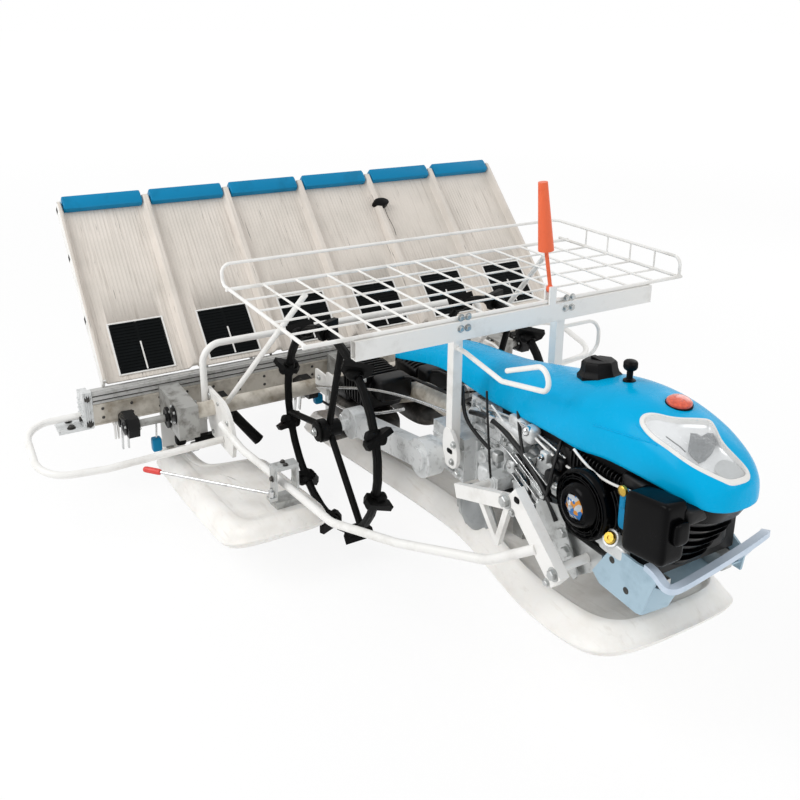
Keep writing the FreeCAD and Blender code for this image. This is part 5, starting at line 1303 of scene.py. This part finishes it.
for y in (-600, 0, 600):
    for side, out in ((-1, TO_RIGHT), (1, TO_LEFT)):
        covers.append(turned(CASE_COVER, ahead((-450, y + side * 32, 262)), out, 32))
        centre = ahead((-382, y + side * 32, 298))
        covers.append(turned(SHAFT_COVER, centre, out, 28))
        cover_bolts += ring_of_bolts(centre + np.array(out) * 5 * MM, out, 27, 5, 7)
piece("planting_covers", covers, "black_die_cast", sharp=40)
piece("planting_bolts", cover_bolts, "zinc_plate")
piece("planting_claws", claws, "bright_steel", bevel=0.4)
piece("seedling_guides", guides, "white_moulding", bevel=0.8)
piece("planting_pushers", dark, "black_enamel", sharp=50)
piece("planting_clips", both([pillow((-514, -680, 132), (-486, -650, 178), 7, 14, 24),
                              pillow((-484, -122, 186), (-456, -92, 222), 5, 14, 24)]), "cap_blue_moulding")
boot = smooth([(-436, -436, 246), (-424, -404, 200), (-412, -374, 160), (-404, -354, 134)], 6)
feet = [pillow((-516, -604, 134), (-484, -570, 172), 4, 12, 22),
        rod(boot, np.linspace(15, 19, len(boot)), 14),
        pillow((-579, -520, 92), (-546, -396, 120), 6, 12, 22)]
piece("planting_feet", both(feet), "black_rubber", sharp=50)
link = smooth([(-560, -430, 112), (-480, -440, 140), (-400, -470, 190), (-380, -500, 230)], 6)
piece("planting_links", both([rod([(-500, -664, 176), (-505, -660, 214), (-520, -655, 242)], 3, 8),
                              rod([(-500, -588, 170), (-498, -590, 226)], 3, 8),
                              pillow((-566, -540, 72), (-542, -512, 104), 5, 12, 20),
                              rod(link, 4, 8)]), "bright_steel", sharp=50)

# %% Mid gear beside the spine: a cast housing, a black box above it, its axle and pale plates
piece("mid_housing", both([pillow((-300, -168, 240), (6, -22, 320), 3.4, 20, 32),
                           pillow((-60, -172, 262), (20, -120, 330), 4, 16, 26)]), "dark_steel", sharp=60)
boxes = [pillow((-164, -152, 336), (-24, -20, 446), 7, 18, 30),
         pillow((-30, -134, 384), (36, -24, 458), 6, 18, 30),
         pillow((-250, -150, 318), (-150, -60, 376), 6, 18, 30)]
boxes += [pillow((x, -160, 348), (x + 7, -24, 452), 8, 12, 24) for x in range(-160, -20, 18)]
piece("mid_boxes", both(boxes), "black_enamel", sharp=60)
piece("mid_axles", both([rod([(-84, -236, 256), (-84, -60, 262)], 15, 18),
                         rod([(-250, -150, 200), (-120, -150, 224)], 8)]), "dark_steel")
piece("mid_plates", both([pillow((-356, -168, 300), (-270, -160, 372), 9, 14, 24),
                          pillow((-262, -172, 336), (-196, -164, 392), 9, 14, 24)]), "white_moulding",
      sharp=50)
mid_bolts = [(-150, -168, 280, 18), (-40, -168, 296, 16), (-228, -168, 300, 14), (-100, -168, 440, 14),
             (-320, -168, 350, 12), (0, -168, 460, 12)]
piece("mid_bolts", both(bolts(TO_RIGHT, mid_bolts)), "zinc_plate")
upper_rod = [(-396, -150, 300), (-300, -190, 330), (-150, -180, 380), (0, -160, 430), (200, -150, 480),
             (420, -150, 520)]
lower_rod = [(-330, -120, 290), (-200, -176, 300), (0, -170, 345), (160, -130, 420)]
piece("mid_rods", both([rod(smooth(upper_rod), 4, 10), rod(smooth(lower_rod), 5, 10)]), "bright_steel")

# %% Markers: a steel rod with an eye and a red sleeve
SLEEVE = [(3, -46), (8, -45), (9, -40), (9, 0), (8, 7), (5, 10), (1, 10)]
EYE = [(4.4, -8.5), (9, -8.5), (9, 8.5), (4.4, 8.5), (4.4, -8.5)]
for hand, side in (("right", -1), ("left", 1)):
    root, tip = np.array((100, side * 512, 229.0)), np.array((-205, side * 770, 229.0))
    along, body = (tip - root) / np.linalg.norm(tip - root), "marker_" + hand
    parts = [rod([root + along * 6, tip - along * 40], 4, 16), turned(EYE, ahead(root), TO_TOP, 24)]
    piece("marker_rod_" + hand, parts, "bright_steel", body=body, stands_for=[body])
    piece("marker_tip_" + hand, [turned(SLEEVE, ahead(tip), along, 24)], "red_marker_sleeve", body=body)

# %% Bolts of the brackets and of the stirrups on the floats
bracket_bolts = [(-395, -508, 332, 16), (-320, -508, 332, 13), (-240, -508, 300, 14), (-236, -508, 262, 16),
                 (-380, -508, 214, 14), (-300, -508, 214, 12)]
piece("bracket_bolts", both(bolts(TO_RIGHT, bracket_bolts)), "zinc_plate")
piece("stirrup_bolts", both(bolts(TO_RIGHT, [(80, -500, 216, 12), (80, -500, 262, 12)])
                            + bolts(TO_TOP, [(70, -464, 300, 10), (92, -464, 300, 10)])), "dark_steel")

# %% [markdown]
# ## The operator's end and the left side
# Behind the table are the grips, the clutch levers and the control box. The left side of the
# engine carries the air cleaner and a ribbed cover over the drive belt.

# %% Control box, levers and knobs
LEVER_SIDES, LEVER_LEAN = (-60, 0, 60), (-0.35, 0, 0.94)
KNOB = [(5, 0), (9, 2), (12, 10), (12.5, 20), (11, 29), (7, 34), (1, 35)]
BOOT = [(22, -2), (22, 3), (18, 5), (19, 9), (14, 11), (15, 15), (10, 17), (6, 22), (5, 22)]
DIAL = [(26, 0), (26, 5), (22, 7), (20, 4), (6, 4), (5, 8), (1, 8)]
piece("console_shell", [pillow((-1075, -110, 499), (-985, 110, 640), 14),
                        pillow((-1078, -96, 512), (-1070, 96, 626), 10)], "satin_black_moulding", sharp=50,
      stands_for=["console"])
piece("console_levers", [rod([(-1040, y, 636), (-1078, y, 742)], 5) for y in LEVER_SIDES], "bright_steel")
piece("console_knobs", [turned(KNOB, ahead((-1077, y, 738)), LEVER_LEAN, 24) for y in LEVER_SIDES],
      "satin_black_moulding", sharp=60)
piece("console_boots", [turned(BOOT, ahead((-1042, y, 640)), LEVER_LEAN, 28) for y in LEVER_SIDES],
      "black_rubber", sharp=60)
console_screws = [(-1078, y, z, 9) for y in (-86, 86) for z in (522, 616)]
piece("console_screws", bolts(TO_REAR, console_screws), "zinc_plate")
piece("console_dial", [turned(DIAL, ahead((-1078, -40, 568)), TO_REAR, 36)], "grey_moulding")
piece("console_switches", [pillow((-1086, y, 556), (-1076, y + 18, 582), 5, 12, 20) for y in (12, 40)],
      "red_marker_sleeve", sharp=60)

# %% Grips with ridges, clutch levers and their cables
RIDGE_PITCH, GRIP_RADIUS = 9, 17.0
grip_start, grip_end = np.array((-1158, -285.6, 725.5)), np.array((-1256, -293, 793))
grip_length = np.linalg.norm(grip_end - grip_start)
steps = np.linspace(8, grip_length - 4, 90)
ridges = np.column_stack([GRIP_RADIUS + np.cos(steps * 2 * np.pi / RIDGE_PITCH), steps])
grip = np.concatenate([[(14, 0), (22, 0), (22, 5), (17, 8)], ridges, [(15, grip_length), (1, grip_length)]])
piece("grip_sleeves", both([turned(grip, ahead(grip_start), grip_end - grip_start, 32)]), "grip_rubber",
      sharp=60, stands_for=["grips"])
clutch = [(-1128, -280, 678), (-1140, -283, 664), (-1172, -286, 680), (-1216, -290, 712), (-1244, -292, 738)]
clutch_pivot = turned([(20, -8), (20, 8)], ahead((-1136, -283, 698)), (-0.5, -0.1, 0.85), 24)
piece("clutch_levers", both([strap(ahead(smooth(clutch)), 14, 4), clutch_pivot]), "black_enamel", sharp=50)
cable = [(-1130, -276, 672), (-1100, -240, 600), (-1070, -180, 560), (-1040, -108, 560)]
piece("clutch_cables", both([rod(smooth(cable), 3.2, 10)]), "cable_sheath")
handle_bolts = [(-1010, -262, 488, 14), (-800, -220, 268, 14), (-640, -216, 262, 14)]
piece("handle_bolts", both(bolts(TO_RIGHT, handle_bolts)), "zinc_plate")

# %% Rollers and their collars on the guide tube behind the table
GUIDE_UP, GUIDE_BEHIND, FOOT_X, FOOT_Z = 380, 62, -605, 349
ROLLER = [(15.5, -22), (23, -22), (24, -18), (21, -14), (21, 14), (24, 18), (23, 22), (15.5, 22)]
COLLAR = [(15.2, -6), (19, -6), (19, 6), (15.2, 6)]
guide_x = FOOT_X - GUIDE_UP * math.cos(TABLE_LEAN) - GUIDE_BEHIND * math.sin(TABLE_LEAN)
guide_z = FOOT_Z + GUIDE_UP * math.sin(TABLE_LEAN) - GUIDE_BEHIND * math.cos(TABLE_LEAN)
roller_sides = (-620, -220, 220, 620)
collar_sides = [roller + off for roller in roller_sides for off in (-30, 30)]
piece("guide_rollers", [turned(ROLLER, ahead((guide_x, y, guide_z)), TO_LEFT, 32) for y in roller_sides],
      "white_moulding", sharp=40)
piece("guide_collars", [turned(COLLAR, ahead((guide_x, y, guide_z)), TO_LEFT, 24) for y in collar_sides],
      "zinc_plate")

# %% Left side of the engine, and bolts of the rack and its posts
cleaner_ribs = [pillow((x, 180, 508), (x + 6, 190, 588), 6, 12, 22) for x in range(894, 991, 16)]
piece("air_cleaner", [pillow((884, 118, 494), (1000, 186, 602), 7), *cleaner_ribs], "satin_black_moulding",
      sharp=60)
clips = [ahead([(x, 150, 606), (x, 172, 605), (x, 190, 596), (x, 192, 570)]) for x in (912, 968)]
piece("air_cleaner_clips", [strap(clip, 12, 2, up=(0, 0.5, 1)) for clip in clips], "bright_steel")
belt_ribs = [pillow((1016, 134, z), (1066, 144, z + 7), 6, 12, 22) for z in range(470, 561, 18)]
piece("belt_cover", [pillow((1004, 100, 452), (1078, 140, 592), 8), *belt_ribs], "gloss_black_moulding",
      sharp=60)
piece("left_drive_cover", [pillow((716, 118, 424), (872, 158, 530), 6)], "black_die_cast", sharp=60)
left_bolts = [(x, 139, z, 10) for z in (584, 460) for x in (1014, 1068)]
left_bolts += [(x, 156, z, 12) for z in (442, 512) for x in (732, 856)]
left_bolts += [(x, 184, 500, 10) for x in (894, 990)]
piece("left_bolts", bolts(TO_LEFT, left_bolts), "zinc_plate")
rack_bolts = [(495, y, z, 12) for z in (772, 800) for y in (-150, -170)]
piece("rack_bolts", both(bolts(TO_FRONT, rack_bolts)), "zinc_plate")

# %% [markdown]
# ## Camera, light and floor
# The machine is seen from its front right and from 1.5 m above the floor, as a buyer would
# look at it. The light is that of a bright white studio: a large soft lamp above its right
# side, weaker ones in front and on its left, and white all around. Camera rays see the world
# and most of the floor as white, and the floor keeps the machine's soft shadow.

# %% Camera
def place_object(data, axes, place):
    """An object of its data's name at a place, with its three axes as the columns of an array."""
    made = bpy.data.objects.new(data.name, data)
    made.matrix_world = Matrix([[*row, at] for row, at in zip(axes, place)] + [[0, 0, 0, 1]])
    bpy.context.scene.collection.objects.link(made)
    return made


YAW, PITCH, ROLL = np.radians((149.238, 18.186, 0.54))
forward = np.array([math.cos(YAW) * math.cos(PITCH), math.sin(YAW) * math.cos(PITCH), -math.sin(PITCH)])
right = np.cross(forward, (0, 0, 1)) / np.linalg.norm(np.cross(forward, (0, 0, 1)))
up = np.cross(right, forward)
right, up = math.cos(ROLL) * right + math.sin(ROLL) * up, math.cos(ROLL) * up - math.sin(ROLL) * right
camera = bpy.data.cameras.new("camera")
camera.lens = 40.6
camera.shift_x = -0.0135
camera.shift_y = -0.117
stand = (AXLE[0] + 2.1705, -1.306, 1.4908)
bpy.context.scene.camera = place_object(camera, np.column_stack([right, up, -forward]), stand)
print("camera at", np.round(stand, 3))

# %% Lamps
# name, place, aim, size in metres, watts
LAMPS = [
    ("key", (-0.6, -3.4, 3.3), (0.0, 0.0, 0.3), 2.6, 92),
    ("front", (4.2, 0.6, 2.4), (0.3, 0.0, 0.5), 2.2, 34),
    ("left", (-0.8, 3.6, 2.6), (0.0, 0.0, 0.4), 2.4, 26),
]
for name, place, aim, size, watts in LAMPS:
    lamp = bpy.data.lights.new(name, "AREA")
    lamp.energy, lamp.size = watts, size
    away = np.array(place, float) - aim
    away /= np.linalg.norm(away)
    side = np.cross((0, 0, 1), away) / np.linalg.norm(np.cross((0, 0, 1), away))
    place_object(lamp, np.column_stack([side, np.cross(away, side), away]), place)

print(len(LAMPS), "lamps of", [watts for *_, watts in LAMPS], "watts")

# %% World and floor
world = bpy.data.worlds.new("studio")
world.use_nodes = True
sky = world.node_tree
sky.nodes.clear()


def seen_directly(tree):
    """One where a ray comes from the camera, or by way of gloss or glass, and nothing elsewhere."""
    rays = add(tree, "LightPath", {}, "Is Camera Ray").node.outputs
    direct = add(tree, "Math", {0: rays["Is Camera Ray"], 1: rays["Is Glossy Ray"]}, operation="MAXIMUM")
    return add(tree, "Math", {0: direct, 1: rays["Is Transmission Ray"]}, operation="MAXIMUM")


# How bright the world is as a light, how white the floor is to the camera, and how its glow
# grows with distance, so that it stays as white as the world beyond it
WORLD_LIGHT, FLOOR_WHITE, GLOW_FROM, GLOW_TO, GLOW_FAR, FLOOR_REACH = 0.62, 0.88, 2.0, 9.0, 1.06, 60.0
level = add(sky, "MapRange", {0: seen_directly(sky), 3: WORLD_LIGHT, 4: 1.0})
white = add(sky, "Background", {"Color": "#FFFFFF", "Strength": level})
add(sky, "OutputWorld", {"Surface": white})
bpy.context.scene.world = world

tree, place = new_material("pale_studio_floor")
matt = add(tree, "BsdfDiffuse", {"Color": "#FFFFFF"})
away = add(tree, "VectorMath", {0: place}, "Value", operation="LENGTH")
strength = add(tree, "MapRange", {0: away, 1: GLOW_FROM, 2: GLOW_TO, 3: 1.0, 4: GLOW_FAR})
glow = add(tree, "Emission", {"Strength": strength})
share = add(tree, "MapRange", {0: seen_directly(tree), 4: FLOOR_WHITE})
add(tree, "OutputMaterial", {"Surface": add(tree, "MixShader", {0: share, 1: matt, 2: glow})})
floor_mesh = bpy.data.meshes.new("studio_floor")
square = [(x * FLOOR_REACH, y * FLOOR_REACH, 0) for x, y in ((-1, -1), (1, -1), (1, 1), (-1, 1))]
floor_mesh.from_pydata(square, [], [(0, 1, 2, 3)])
floor_mesh.materials.append(bpy.data.materials["pale_studio_floor"])
floor = bpy.data.objects.new("studio_floor", floor_mesh)
bpy.context.scene.collection.objects.link(floor)
bpy.context.scene.view_settings.view_transform = "Standard"
print("floor", 2 * FLOOR_REACH, "m wide")

# %% Update the view layer
bpy.context.view_layer.update()
